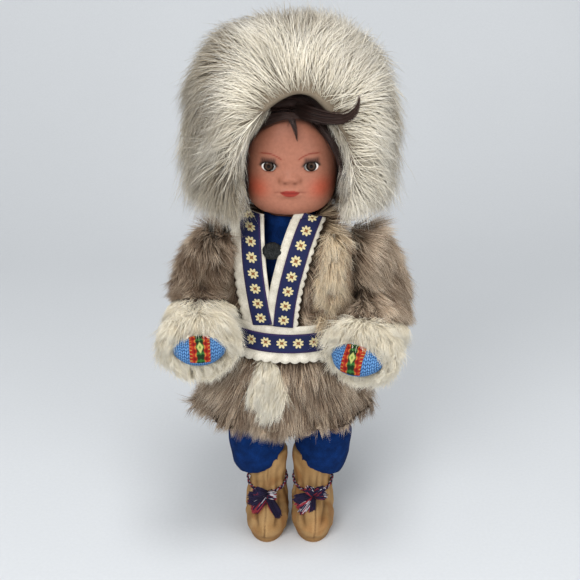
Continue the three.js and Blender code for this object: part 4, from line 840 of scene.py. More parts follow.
@dataclass(frozen=True)
class Fur:
    """How the hairs of one fur grow from its hide."""

    length: float
    lift: float  # 0 lies on the hide, 1 stands straight up
    width: float = 0.34 * MM  # of a hair at its root
    droop: float = 0.1  # pull of the hair's own weight
    uneven: float = 0.25  # differences in length
    stray: float = 0.12  # differences in direction
    clump: float = 0.5  # how far the hairs of a lock draw together
    clump_size: float = 5 * MM
    patch: float = 18 * MM  # width of a patch of one tone
    tone: float = 0.5  # 0 is all dark hairs, 1 all pale ones
    contrast: float = 0.25  # differences in tone
    rings: tuple[float, ...] = (0.5,)  # where the hairs can bend
    crowd: int = 30  # hairs to a lock
    rise: float = 4 * MM  # height of the tips over the hide
    swirl: float = 0.35  # how far the locks turn from the flow

    def grow(
        self,
        hide: Mesh,
        name: str,
        roots: Array,
        normals: Array,
        flow: Array,
        rng: np.random.Generator,
        trim: Array | float = 1.0,
        shade: Array | float = 0.0,
        stand: Array | float = 0.0,
    ) -> Mesh:
        """Grows one hair from each root.

        Args:
            hide: the mesh that the hairs lie over.
            name: name of the mesh of the hairs.
            roots: where the hairs start.
            normals: the hide's normals there.
            flow: the way the hairs lie.
            rng: source of their differences.
            trim: share of the full length at each root.
            shade: added to the tone at each root.
            stand: added to the height of each tip over the hide.

        Returns:
            The mesh of the hairs.
        """
        count = len(roots)
        flow = unit(flow - dot(flow, normals)[:, None] * normals)
        wave = drift(roots, 3 * self.clump_size, 5)[:, None]
        turned = flow + self.swirl * wave * np.cross(normals, flow)
        flow = unit(turned + self.stray * rng.normal(size=(count, 3)))
        size = self.length * (1 + self.uneven * rng.uniform(-1, 0.6, count)) * trim
        lift = self.lift * (1 + 0.3 * rng.normal(size=count))[:, None]
        start = unit(normals * lift + flow * (1 - lift))
        last = unit(start * 0.35 + flow + self.droop * DOWN + self.stray * rng.normal(size=(count, 3)))
        bend = roots + start * (0.45 * size)[:, None]
        end = bend + last * (0.55 * size)[:, None]
        seeds = rng.choice(count, max(1, count // self.crowd), replace=False)
        tree = KDTree(len(seeds))
        for i, seed in enumerate(seeds):
            tree.insert(roots[seed], i)
        tree.balance()
        lead = seeds[[tree.find(root)[1] for root in roots]]
        near = np.linalg.norm(roots - roots[lead], axis=1) < self.clump_size
        pull = (self.clump * near * rng.uniform(0.5, 1.2, count))[:, None]
        end = end * (1 - pull) + (end[lead] + 0.3 * (roots - roots[lead])) * pull
        under, up = nearest(hide, end)
        high = self.rise * (1 + 0.45 * drift(roots, 2.5 * self.clump_size, 17) + 0.4 * rng.normal(size=count))
        hang = end - under
        high = np.maximum(high * np.minimum(1, size / (0.6 * self.length)), 0.4 * MM) + stand
        aside = hang - dot(hang, up)[:, None] * up
        end = under + aside + up * high[:, None]
        lock = rng.normal(size=count)[lead] * 0.4 + rng.normal(size=count) * 0.6
        tone = self.tone + self.contrast * (0.7 * drift(roots, self.patch, 11) + lock) + shade
        width = self.width * rng.uniform(0.7, 1.2, count)
        return strand_mesh(name, roots - 0.4 * MM * normals, bend, end, width, tone, self.rings)


# the head and its hood


@dataclass
class Head:
    """The vinyl head with its painted face, its sleeping eyes and its rooted hair."""

    base: float = 194 * MM
    half_width: float = 25 * MM
    back_depth: float = 28 * MM
    squareness: float = 2.3
    crowding: float = 0.5
    height: float = 67 * MM
    neck: float = 4 * MM
    neck_radius: float = 12 * MM
    eye_x: float = 10.9 * MM
    eye_z: float = 227 * MM
    eye_y: float = -16.5 * MM
    eye_radius: float = 5.8 * MM
    eye_front: float = -15 * MM  # the openings lie ahead of this
    upper_lid: float = 2.4 * MM  # height of the opening over its middle
    lower_lid: float = 2.6 * MM
    half_lid: float = 3.75 * MM  # half the opening's width
    nose: float = 221.5 * MM
    mouth: float = 214 * MM
    columns: int = 216
    rows: int = 170

    def build(self) -> None:
        """Builds every piece of the head."""
        self.build_face()
        for side in Side:
            self.build_eye(side)
        self.build_hair()

    def outline(self) -> Array:
        """The outline of the turned form, as the CAD head has it.

        Returns:
            Radius and height of its points, from the chin up.
        """
        shares = [(0.73, 0.1), (0.93, 0.2), (1, 0.36), (1, 0.58), (0.86, 0.81), (0.5, 0.955), (0, 1)]
        points = [(r * self.half_width, z * self.height) for r, z in shares]
        return spline([(self.neck_radius, self.neck), *points], self.rows)

    def rises(self) -> list[tuple[float, float, float, float, float]]:
        """Soft forms of the face.

        Returns:
            x, height, rise, and spread across and up of each form, in millimetres.
        """
        nose, mouth, eye = self.nose / MM, self.mouth / MM, self.eye_z / MM
        middle = [
            (0, nose, 2.4, 2.7, 2.2), (0, nose + 6, 0.5, 2.2, 4.5), (0, mouth + 0.2, 1.3, 4.8, 2.6),
            (0, mouth - 1.4, 0.75, 2.7, 0.85), (0, mouth - 3.9, -0.5, 3.6, 1.1), (0, nose - 18.5, 2.2, 8, 4),
            (0, mouth + 3.4, -0.22, 0.8, 1.3),
        ]
        paired = [
            (14.5, mouth - 1.4, 1.7, 7, 7), (self.eye_x / MM, eye, -0.9, 4.5, 3.6),
            (3.6, nose - 0.9, 0.9, 1.4, 1.4), (2.5, nose - 2.5, -0.5, 0.9, 0.6),
            (1.7, mouth + 1.0, 0.6, 1.7, 0.75), (5.4, mouth + 0.1, -0.45, 1.1, 0.8),
            (self.eye_x / MM, eye + 5.2, 0.45, 4.6, 1.5),
        ]
        mirrored = [(-x, *rest) for x, *rest in paired]
        return [*middle, *paired, *mirrored]

    def build_face(self) -> None:
        """Turns the outline, gives it the face's forms, opens the eyes and paints it."""
        bm = bmesh.new()
        foot = 0.3 * MM
        points = [(0.0, foot), (self.neck_radius, foot), *self.outline()]
        line = [bm.verts.new((max(r, 0.0), 0, z)) for r, z in points]
        edges = [bm.edges.new(pair) for pair in zip(line, line[1:])]
        spin = {"cent": (0, 0, 0), "axis": (0, 0, 1), "angle": 2 * math.pi, "steps": self.columns}
        bmesh.ops.spin(bm, geom=[*line, *edges], use_merge=True, **spin)
        bmesh.ops.remove_doubles(bm, verts=bm.verts, dist=1e-7)
        at = self.shaped(np.array([v.co for v in bm.verts]))
        for vert, place in zip(bm.verts, at):
            vert.co = place
        for side in Side:
            self.open_eye(bm, side)
        mesh = new_mesh("head", bm)
        paint(mesh, self.complexion(places(mesh)))
        add_piece("head", mesh, Finishes.face, "head", "face_vinyl", "head_shell")

    def shaped(self, at: Array) -> Array:
        """Squares the turned form, fills its back and raises the face on its front.

        Args:
            at: points of the turned form.

        Returns:
            The points in the row frame.
        """
        around = np.arctan2(at[:, 0], -at[:, 1])
        angle = around - self.crowding * np.sin(around)
        radius = np.hypot(at[:, 0], at[:, 1])
        over = ease(at[:, 2], self.neck, self.neck + 1 * MM)
        power = 1 + (2 / self.squareness - 1) * over
        ahead = np.cos(angle)
        back = np.where(ahead < 0, 1 + (self.back_depth / self.half_width - 1) * over, 1)
        x = radius * np.sign(np.sin(angle)) * np.abs(np.sin(angle)) ** power
        y = -radius * back * np.sign(ahead) * np.abs(ahead) ** power
        z = at[:, 2] + self.base
        fade = ease(at[:, 2], self.neck, self.neck + 3 * MM) * np.clip(2 * ahead, 0, 1)
        for middle, height, rise, wide, tall in self.rises():
            away = ((x / MM - middle) / wide) ** 2 + ((z / MM - height) / tall) ** 2
            y = y - rise * MM * np.exp(-away / 2) * fade
        return np.column_stack([x, y, z])

    def lid(self, x: Array, z: Array) -> Array:
        """How far points are from the middle of an eye: 1 on the edge of the lids."""
        tall = np.where(z > 0, self.upper_lid, self.lower_lid)
        return np.sqrt((x / self.half_lid) ** 2 + (z / tall) ** 2)

    def open_eye(self, bm: bmesh.types.BMesh, side: Side) -> None:
        """Opens the lids of one eye and turns their edge in.

        Args:
            bm: the head's shape.
            side: the side of the eye.
        """
        x0 = side.sign * self.eye_x

        def reach(place: Vector) -> float:
            """How far a place is from the eye's middle, by its lids."""
            return float(self.lid(np.array(place.x - x0), np.array(place.z - self.eye_z)))

        near = [v for v in bm.verts if v.co.y < self.eye_front and reach(v.co) < 3]
        faces = {f for v in near for f in v.link_faces if reach(f.calc_center_median()) < 1}
        bmesh.ops.delete(bm, geom=list(faces), context="FACES")
        edges = [e for e in bm.edges if e.is_boundary and e.verts[0].co.y < self.eye_front]
        rim = [e for e in edges if reach(e.verts[0].co) < 1.5]
        for vert in {v for e in rim for v in e.verts}:
            scale = 1 / max(reach(vert.co), 0.2)
            vert.co.x = x0 + (vert.co.x - x0) * scale
            vert.co.z = self.eye_z + (vert.co.z - self.eye_z) * scale
        turned = bmesh.ops.extrude_edge_only(bm, edges=rim)["geom"]
        inner = [g for g in turned if isinstance(g, bmesh.types.BMVert)]
        bmesh.ops.translate(bm, verts=inner, vec=(0, 1.6 * MM, 0))

    def complexion(self, at: Array) -> Array:
        """Paints the face: cheeks, nostrils, mouth, lids, brows, lips and hairline, and painted shade on the
        upper forehead, beside the nose wings and at the mouth's corners.

        Args:
            at: points of the face.

        Returns:
            A linear RGB colour for each point.
        """
        x, y, z = (at / MM).T
        mouth, nose, eye = self.mouth / MM, self.nose / MM, self.eye_z / MM
        front = ease(-y, 4, 12)
        # painted shade: the upper forehead is darker under the hood's brim
        coats = [("#905944", 0.6 * ease(z, 232, 250))]
        for side in (-1, 1):
            cheek = np.hypot((x - side * 17.0 + 0.8) / 5.4, (z - mouth - 1.8) / 4.8)
            nostril = bump(x, side * 2.6, 0.75) * bump(z, nose - 2.5, 0.5)
            wing = bump(x, side * 5.6, 0.7) * bump(z, nose - 1.2, 1.2)
            corner = bump(x, side * 6.6, 1.6) * bump(z, mouth + 0.2, 0.4)
            reach = side * x - self.eye_x / MM
            rise = z - eye
            lid = self.lid(reach * MM, rise * MM)
            streak = 0.74 + 0.26 * np.sin(7 * reach + 1.5 * rise)
            over = ease(rise, 0.0, 1.4) * (1 - ease(rise, 3.6, 6.0))
            over *= 1 - ease(np.abs(reach - 0.2), 3.0, 4.8)
            line = ease(rise, -0.4, 0.7) * np.exp(-(((lid - 1.08) / 0.3) ** 2))
            under = ease(-rise, 0, 1) * np.exp(-(((lid - 1) / 0.2) ** 2))
            run = reach + 7.2
            arch = eye + 7.2 - 2.6 * ((run - 8.6) / 7.5) ** 2
            brow = np.exp(-(((z - arch) / 0.38) ** 2)) * ease(run, 0, 1.0) * (1 - ease(run, 9.5, 13.5))
            coats += [
                ("#b5452c", 0.6 * np.exp(-0.7 * cheek**2.4) * front),
                ("#673423", 0.8 * nostril * front),
                # painted shade in the creases beside the nose wings and in the corners of the mouth
                ("#74432f", 0.5 * wing * front),
                ("#74392a", 0.55 * corner * front),
                ("#1f1718", 0.95 * over * streak * front),
                ("#0b0605", 0.98 * line * front),
                ("#754534", 0.5 * under * front),
                ("#7c2416", 0.95 * brow * front),
            ]
        upper = mouth + 1.75 - 0.45 * np.exp(-((x / 0.9) ** 2)) - 1.6 * (np.abs(x) / 5.0) ** 1.7
        lower = mouth - 2.1 + 2.0 * (np.abs(x) / 5.0) ** 2.2
        lips = (1 - ease(z, upper - 0.25, upper + 0.25)) * ease(z, lower - 0.3, lower + 0.3)
        lips *= np.abs(x) < 5.1
        coats += [
            ("#8f2219", 0.88 * lips * front),
            ("#5e0f0d", 0.6 * lips * bump(z, mouth, 0.35) * front),
            ("#2a1b17", ease(z - 250.5 + 0.032 * x**2, -1.5, 2.5)),
        ]
        return layered("#9e6752", len(at), coats)

    def build_eye(self, side: Side) -> None:
        """A glossy ball with a brown iris; its upper part is the lid that swings down.

        Args:
            side: the side of the eye.
        """
        bm = bmesh.new()
        bmesh.ops.create_uvsphere(bm, u_segments=72, v_segments=48, radius=self.eye_radius)
        bmesh.ops.rotate(bm, verts=bm.verts, matrix=Matrix.Rotation(math.pi / 2, 3, "X"))
        middle = Vector((side.sign * self.eye_x, self.eye_y, self.eye_z))
        bmesh.ops.translate(bm, verts=bm.verts, vec=middle)
        mesh = new_mesh(f"{side.value}_eye_ball", bm)
        local = (places(mesh) - np.array(middle)) / MM
        away = np.where(local[:, 1] < 0, np.hypot(local[:, 0], local[:, 2]), 99.0)
        ray = 0.5 + 0.5 * np.sin(26 * np.arctan2(local[:, 2], local[:, 0]))
        coats = [
            ("#120a08", 1 - ease(away, 2.6, 2.9)),
            ("#453328", (1 - ease(away, 1.6, 2.2)) * (0.75 + 0.25 * ray)),
            ("#0b0605", 1 - ease(away, 0.8, 1.2)),
            ("#8c5540", ease(np.degrees(np.arctan2(local[:, 2], -local[:, 1])), 25, 28)),
        ]
        paint(mesh, layered("#f3efe9", len(local), coats))
        name = f"{side.value}_eye"
        add_piece(f"{name}_ball", mesh, Finishes.eye, "eyes", "eye_gloss", name)

    def build_hair(self) -> None:
        """Rooted hair under the hood, a few fringe hairs and the lock that curls out over the fur."""
        rng = np.random.default_rng(21)
        cap = skin("scalp", ("hair_cap",), 1.6 * MM, 4)
        roots, normals = scatter(cap, 3000, rng)
        keep = (roots[:, 1] < 8 * MM) & (normals[:, 1] < 0.6)
        roots, normals = roots[keep], normals[keep]
        add_piece("scalp", cap, Finishes.scalp, "head", "nylon_hair", "hair_cap")
        crown = np.array([4, 4, 262]) * MM
        flow = unit(roots - crown) + 0.9 * DOWN
        hair = Fur(11 * MM, lift=0.12, clump=0.6, clump_size=4 * MM, contrast=0.3, rise=1.2 * MM)
        mesh = hair.grow(cap, "rooted_hair", roots, normals, flow, rng)
        add_piece("rooted_hair", mesh, Finishes.hair, "head", "nylon_hair")
        locks = [
            self.lock(rng, 130, (-15, -19, 249), (-3, -25, 256.5), (11, -25.5, 252), 3.0, 0.5),
            self.lock(rng, 80, (-22, -14, 235), (-20, -20, 247), (-8, -22.5, 254), 2.2, 0.6),
            self.lock(rng, 70, (0, -22, 254), (2.5, -26.5, 249), (3.8, -26.4, 240.5), 1.8, 0.25),
            self.lock(rng, 200, (-12, -17, 257), (0, -24, 264), (14, -25.5, 258), 4.0, 0.6),
            self.lock(rng, 220, (2, -19, 264), (15, -25, 263), (24, -24, 249), 4.2, 0.6),
            self.lock(rng, 200, (9, -24, 256), (20, -25, 251), (25, -21, 238), 3.4, 0.7),
            self.lock(rng, 260, (17, -23, 251), (29, -26, 236), (31, -25, 205), 4.4, 1.0),
            self.lock(rng, 240, (20, -21, 247), (31, -23, 232), (32.5, -22, 203), 4.4, 1.0),
            self.lock(rng, 220, (22, -24, 246), (32, -28, 230), (33, -28, 206), 3.8, 1.0),
        ]
        parts = [np.concatenate(part) for part in zip(*locks)]
        fringe = strand_mesh("fringe", *parts, rings=(0.25, 0.5, 0.75))
        add_piece("fringe", fringe, Finishes.hair, "head", "nylon_hair")
        curl = self.lock(rng, 420, (5, -26, 257), (33, -46, 250), (33, -48, 270), 2.6, 0.15)
        rings = (0.12, 0.25, 0.38, 0.5, 0.62, 0.75, 0.88)
        mesh = strand_mesh("curled_lock", *curl, rings=rings)
        add_piece("curled_lock", mesh, Finishes.hair, "head", "nylon_hair", "forelock")

    def lock(
        self,
        rng: np.random.Generator,
        count: int,
        start: Spot,
        bend: Spot,
        end: Spot,
        spread: float,
        loose: float,
    ) -> list[Array]:
        """One lock of hair, whose hairs draw together at its end. Its sizes are in millimetres.

        Args:
            rng: source of the hairs' differences.
            count: how many hairs it has.
            start: where it starts.
            bend: the place that it bends towards.
            end: where it ends.
            spread: its thickness at the start.
            loose: how far its hairs stray at the end.

        Returns:
            Root, bend, end, width and tone of each hair.
        """
        off = rng.normal(size=(count, 3)) * 0.5 * spread
        tail = off * (0.12 + loose * rng.uniform(0, 1, (count, 1)))
        length = rng.uniform(0.78, 1.0, (count, 1))
        start, bend, end = (np.array(p, float) for p in (start, bend, end))
        tip = bend + (end - bend) * length + tail
        half = bend + 0.75 * off * np.array([0.6, 0.6, 1.0])
        width = rng.uniform(0.32, 0.5, count) * MM
        return [(start + off) * MM, half * MM, tip * MM, width, rng.uniform(0, 1, count)]


@dataclass
class Hood:
    """The long-haired fur hood."""

    pile: float = 4.5 * MM
    side_pile: float = 2.5 * MM  # how much deeper the hide lies at the sides
    hairs: int = 44000
    rim_hairs: int = 30000
    pieces: int = 6
    parting: Spot = (9 * MM, -36 * MM, 256 * MM)
    middle: Spot = (0.0, 4 * MM, 246 * MM)
    curl: tuple[Spot, ...] = ((26, -41, 256), (31, -43, 260), (33, -44, 267))  # in millimetres
    brow_lift: float = 8 * MM  # how far the fur's edge is pushed up over the brow
    dark_ring: float = 52 * MM  # how far from the parting the dark under-fur shows
    clean_edge: float = 22 * MM  # how far from the parting no hair hangs into the opening

    def build(self) -> None:
        """Builds the hide and the fur on it, in pieces."""
        rng = np.random.default_rng(3)
        hide = skin("hood_hide", ("hood_ruff", "hood_crown"), 2.2 * MM, 6)
        self.sink(hide)
        add_piece("hood_hide", hide, Finishes.hide, "head", "pale_fur", "hood_ruff", "hood_crown")
        roots, normals = scatter(hide, self.hairs, rng)
        keep = dot(normals, unit(roots - np.array(self.middle))) > -0.12
        edge = np.linalg.norm(roots - np.array(self.parting), axis=1) < self.clean_edge
        keep &= ~edge | (normals[:, 2] > 0.05)
        roots, normals = roots[keep], normals[keep]
        away = roots - np.array(self.parting)
        far = np.linalg.norm(away, axis=1)
        flow = unit(away + 2.5 * MM * rng.normal(size=away.shape))
        level = np.maximum(flow[:, 2], -0.1)
        flow[:, 2] = level + (flow[:, 2] - level) * ease(far, 20 * MM, 42 * MM)
        aside = ease(np.abs(away[:, 0]), 16 * MM, 50 * MM)
        hang = (0.45 + 1.3 * aside) * ease(far, 20 * MM, 56 * MM)
        flow = flow + hang[:, None] * DOWN
        fur = Fur(
            32 * MM, lift=0.3, width=0.4 * MM, uneven=0.35, clump_size=9 * MM, patch=26 * MM, tone=0.76,
            contrast=0.38, rings=(0.35, 0.7), crowd=60, rise=7 * MM, swirl=0.7,
        )
        trim = 1 - 0.25 * ease(roots[:, 1], 10 * MM, 40 * MM)
        trim *= 0.25 + 0.75 * ease(self.distance(roots, self.curl), 4 * MM, 11 * MM)
        trim *= 0.4 + 0.6 * ease(far, 6 * MM, 16 * MM)
        short = np.where(roots[:, 0] < 0, 0.72, 0.5 + 0.35 * bump(roots[:, 0], 31 * MM, 9 * MM))
        trim *= 1 - short * (1 - ease(roots[:, 2], 200 * MM, 230 * MM))
        shade = 0.2 * (1 - ease(far, 12 * MM, 40 * MM)) - 0.15 * ease(far, 66 * MM, 90 * MM)
        ring = bump(far + 7 * MM * drift(roots, 40 * MM, 23), self.dark_ring, 8 * MM)
        ring *= 0.3 + 0.7 * ease(-roots[:, 0], -12 * MM, 12 * MM)
        shade -= ring * (1.15 + 0.6 * drift(roots, 22 * MM, 29))
        band = ease(drift(roots, 34 * MM, 37), 0.0, 0.7) * ease(-roots[:, 0], 5 * MM, 30 * MM)
        shade -= 0.5 * band * ease(far, 36 * MM, 50 * MM)
        for i in range(self.pieces):
            part = slice(i, None, self.pieces)
            name = f"hood_fur_{i + 1}"
            mesh = fur.grow(hide, name, roots[part], normals[part], flow[part], rng, trim[part], shade[part])
            add_piece(name, mesh, Finishes.hood, "head", "pale_fur")
        self.grow_rim(hide, rng)

    def sink(self, hide: Mesh) -> None:
        """Draws the outside in, to leave room for the hair, and pushes the fur's edge up over the brow.

        Args:
            hide: the hood's hide.
        """
        at, normals = places(hide), directions(hide)
        outward = unit(at - np.array(self.middle))
        facing = ease(dot(normals, outward), -0.1, 0.6)
        deep = self.pile + self.side_pile * ease(np.abs(at[:, 0]), 38 * MM, 56 * MM)
        at = at - normals * (deep * facing)[:, None]
        brow = bump(at[:, 0], 7 * MM, 12 * MM) * bump(at[:, 2], 259 * MM, 6 * MM)
        at[:, 2] += self.brow_lift * brow * ease(-at[:, 1], 10 * MM, 25 * MM)
        move(hide, at)
        soften(hide, 4)

    def distance(self, roots: Array, spots: tuple[Spot, ...]) -> Array:
        """How far each root is from the nearest of some spots, which are in millimetres."""
        return np.min([np.linalg.norm(roots - np.array(spot) * MM, axis=1) for spot in spots], axis=0)

    def grow_rim(self, hide: Mesh, rng: np.random.Generator) -> None:
        """Short hair on the wall of the face's opening, which hangs down beside the cheeks.

        Args:
            hide: the hood's hide.
            rng: source of the hairs' differences.
        """
        roots, normals = scatter(hide, self.rim_hairs, rng)
        keep = dot(normals, unit(roots - np.array(self.middle))) < 0.2
        keep &= (roots[:, 1] < -14 * MM) & (roots[:, 2] < 258 * MM)
        roots, normals = roots[keep], normals[keep]
        low = 1 - ease(roots[:, 2], 206 * MM, 222 * MM)
        aside = np.where(roots[:, 0] < 0, 0.25, 0.6 - 0.95 * low)
        flow = DOWN + aside[:, None] * LEFTWARD + np.array([0, -0.35, 0.0])
        # painted shade: left at the middle tone, this hair is darker than the hood's outer fur, as the wall
        # of the opening lies in shade
        fur = Fur(
            14 * MM, lift=0.3, width=0.36 * MM, droop=0.2, uneven=0.35, stray=0.14, clump_size=6 * MM,
            contrast=0.5, rise=2.5 * MM,
        )
        mesh = fur.grow(hide, "hood_rim_fur", roots, normals, flow, rng, 1 + 0.35 * low)
        add_piece("hood_rim_fur", mesh, Finishes.hood, "head", "pale_fur")


# the coat and its trim


@dataclass
class Coat:
    """The fur coat's body: its chest, its skirt with a white panel, and the fold beside the left lapel."""

    hem: float = 79 * MM
    waist: float = 131 * MM
    belt_top: float = 141 * MM
    bodice_pile: float = 2.6 * MM  # how deep each hide lies under the solid's outside
    skirt_pile: float = 2.8 * MM
    facing_pile: float = 1.2 * MM
    bodice_hairs: int = 13500
    skirt_hairs: int = 16500
    inset_hairs: int = 6500
    facing_hairs: int = 6000
    # fine straight hairs, dark and pale ones side by side
    skirt_pelt: Fur = Fur(
        16 * MM, lift=0.22, droop=0.3, uneven=0.35, stray=0.1, clump=0.6, clump_size=4.5 * MM,
        patch=14 * MM, tone=0.46, contrast=0.58, swirl=0.25,
    )

    def build(self) -> None:
        """Builds every piece of fur on the torso."""
        self.build_bodice()
        self.build_skirt()
        self.build_inset()
        self.build_facing()

    def build_bodice(self) -> None:
        """The chest, with no hair under the trim."""
        rng = np.random.default_rng(7)
        hide = skin("bodice_hide", ("coat_bodice",), 1.9 * MM, 4)
        at, normals = places(hide), directions(hide)
        facing = ease(dot(normals, level(at)), 0.1, 0.7) * (1 - ease(np.abs(normals[:, 0]), 0.8, 0.95))
        move(hide, at - normals * (self.bodice_pile * facing)[:, None])
        add_piece("bodice_hide", hide, Finishes.dark_hide, "torso", "grey_fur", "coat_bodice")
        roots, normals = scatter(hide, 40000, rng)
        out = np.maximum(dot(normals, level(roots)), normals[:, 2] - 0.1)
        keep = (out > 0.15) & (roots[:, 2] > self.belt_top)
        for node in ("left_lapel_felt", "right_lapel_felt"):
            under = covered(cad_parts[node].data, roots, np.array([0, -1, 0.0]))
            keep &= ~under | (roots[:, 1] > 0)
        roots, normals = roots[keep][: self.bodice_hairs], normals[keep][: self.bodice_hairs]
        fur = Fur(13 * MM, lift=0.26, droop=0.25, clump=0.6, patch=14 * MM, tone=0.34, contrast=0.52)
        aside = np.sign(roots[:, 0]) * (0.25 + 0.8 * ease(roots[:, 2], 168 * MM, 182 * MM))
        flow = DOWN + aside[:, None] * LEFTWARD
        stand = 9 * MM * ease(roots[:, 2], 182 * MM, 192 * MM)
        tan = (roots[:, 0] > 13 * MM) & (roots[:, 1] < -4 * MM) & (roots[:, 2] > 184 * MM)
        for name, part, finish, slot, paler in (
            ("bodice_fur", ~tan, Finishes.coat, "grey_fur", 0.0),
            ("bodice_tan_fur", tan, Finishes.tan, "tan_fur", 0.3),
        ):
            chosen = (values[part] for values in (roots, normals, flow))
            mesh = fur.grow(hide, name, *chosen, rng, shade=paler, stand=stand[part])
            add_piece(name, mesh, finish, "torso", slot)

    def build_skirt(self) -> None:
        """The skirt, whose hairs hang past the hem."""
        rng = np.random.default_rng(8)
        hide = skin("skirt_hide", ("coat_skirt",), 2.0 * MM, 3)
        self.thin(hide)
        add_piece("skirt_hide", hide, Finishes.dark_hide, "torso", "grey_fur", "coat_skirt")
        roots, normals = self.outside(hide, rng, self.skirt_hairs)
        mesh = self.hang(hide, self.skirt_pelt, "skirt_fur", roots, normals, rng)
        add_piece("skirt_fur", mesh, Finishes.coat, "torso", "grey_fur")

    def build_inset(self) -> None:
        """The white panel in the skirt's front."""
        rng = np.random.default_rng(9)
        hide = skin("inset_hide", ("skirt_inset",), 1.0 * MM, 3)
        self.thin(hide)
        add_piece("inset_hide", hide, Finishes.pale_hide, "torso", "white_fur", "skirt_inset")
        roots, normals = self.outside(hide, rng, self.inset_hairs)
        x, z = roots[:, 0] / MM, roots[:, 2] / MM
        middle = np.interp(z, (97, 106, 121), (-12, -13, -9.5))
        half = np.interp(z, (95, 99, 106, 121), (6, 9.5, 11, 5))
        panel = (np.abs(x - middle) < half) & (z > 95 + 8 * ((x - middle) / 10) ** 2)
        white = Fur(12 * MM, lift=0.26, droop=0.25, clump=0.6, clump_size=4 * MM, tone=0.85, contrast=0.4)
        mesh = self.hang(hide, white, "inset_fur", roots[panel], normals[panel], rng)
        add_piece("inset_fur", mesh, Finishes.white, "torso", "white_fur")
        mesh = self.hang(hide, self.skirt_pelt, "inset_border_fur", roots[~panel], normals[~panel], rng)
        add_piece("inset_border_fur", mesh, Finishes.coat, "torso", "grey_fur")

    def thin(self, hide: Mesh) -> None:
        """Draws a panel's outside in, to leave room for its hair.

        Args:
            hide: the panel's hide.
        """
        at, normals = places(hide), directions(hide)
        facing = ease(dot(normals, level(at)), 0.0, 0.6)
        at = at - normals * (self.skirt_pile * facing)[:, None]
        at[:, 2] = np.maximum(at[:, 2], self.hem + 5 * MM * ease(-at[:, 2], -self.hem - 6 * MM, -self.hem))
        move(hide, at)

    def outside(
        self, hide: Mesh, rng: np.random.Generator, most: int
    ) -> tuple[Array, Array]:
        """Roots on the outside of a hanging panel.

        Args:
            hide: the panel's hide.
            rng: source of their places.
            most: how many are kept at most.

        Returns:
            The roots and the normals there.
        """
        roots, normals = scatter(hide, round(2.5 * most), rng)
        keep = (dot(normals, level(roots)) > 0.1) & (roots[:, 2] > self.hem + 3.5 * MM)
        keep &= roots[:, 2] < self.waist - 8.5 * MM
        return roots[keep][:most], normals[keep][:most]

    def hang(
        self,
        hide: Mesh,
        fur: Fur,
        name: str,
        roots: Array,
        normals: Array,
        rng: np.random.Generator,
    ) -> Mesh:
        """Hair that hangs from a panel, shorter under the belt and at the hem.

        Args:
            hide: the panel's hide.
            fur: how the hair grows.
            name: name of the mesh.
            roots: where the hairs start.
            normals: the hide's normals there.
            rng: source of the hairs' differences.

        Returns:
            The mesh of the hairs.
        """
        flow = DOWN + 0.35 * level(roots)
        trim = 0.55 + 0.45 * ease(self.waist - roots[:, 2], 4 * MM, 18 * MM)
        front = ease(-roots[:, 1], 0.0, 40 * MM)
        trim *= 1 - (0.25 + 0.3 * front) * (1 - ease(roots[:, 2], self.hem + 6 * MM, self.hem + 17 * MM))
        # painted light and shade: the hair is paler on the doll's right, which faces the key light, and
        # darker on its left
        shade = 0.12 * (1 - ease(roots[:, 0], -20 * MM, 5 * MM)) - 0.06
        return fur.grow(hide, name, roots, normals, flow, rng, trim, shade)

    def build_facing(self) -> None:
        """The fold of longer, paler fur beside the left lapel."""
        rng = np.random.default_rng(10)
        hide = skin("facing_hide", ("front_facing",), 0.9 * MM, 8)
        at, normals = places(hide), directions(hide)
        move(hide, at - normals * self.facing_pile)
        add_piece("facing_hide", hide, Finishes.pale_hide, "torso", "tan_fur", "front_facing")
        roots, normals = scatter(hide, 10000, rng)
        keep = normals[:, 1] < 0.1
        roots, normals = roots[keep][: self.facing_hairs], normals[keep][: self.facing_hairs]
        low = 1 - ease(roots[:, 2], 140 * MM, 172 * MM)
        crest = np.interp(roots[:, 2], (140 * MM, 165 * MM, 198 * MM), (16 * MM, 21 * MM, 24 * MM))
        aside = (roots[:, 0] - crest) / (6 * MM)
        top = ease(roots[:, 2], 184 * MM, 194 * MM)
        ahead = -0.1 - 0.2 * low - 0.5 * top
        flow = np.column_stack([0.5 * np.clip(aside, -1, 1) - 0.7 * low, ahead, 2.0 * top - 1])
        fur = Fur(
            16 * MM, lift=0.42, droop=0.2, uneven=0.3, stray=0.25, clump=0.75, clump_size=3.5 * MM,
            patch=8 * MM, tone=0.72, contrast=0.95, rise=5 * MM,
        )
        trim = 1 + 0.9 * (1 - ease(roots[:, 2], 142 * MM, 156 * MM))
        # painted light and shade: the crest of the fold is paler and its flanks darker; the dark band across
        # its foot is the seam there
        shade = 0.3 * bump(aside, 0, 0.5) - 0.7 * ease(aside, 0.35, 1.1) - 0.5 * ease(-aside, 0.3, 1.2)
        shade -= 0.8 * bump(roots[:, 2], 152 * MM, 1.8 * MM)
        mesh = fur.grow(hide, "facing_fur", roots, normals, flow, rng, trim, shade, 7 * MM * top)
        add_piece("facing_fur", mesh, Finishes.tan, "torso", "tan_fur")


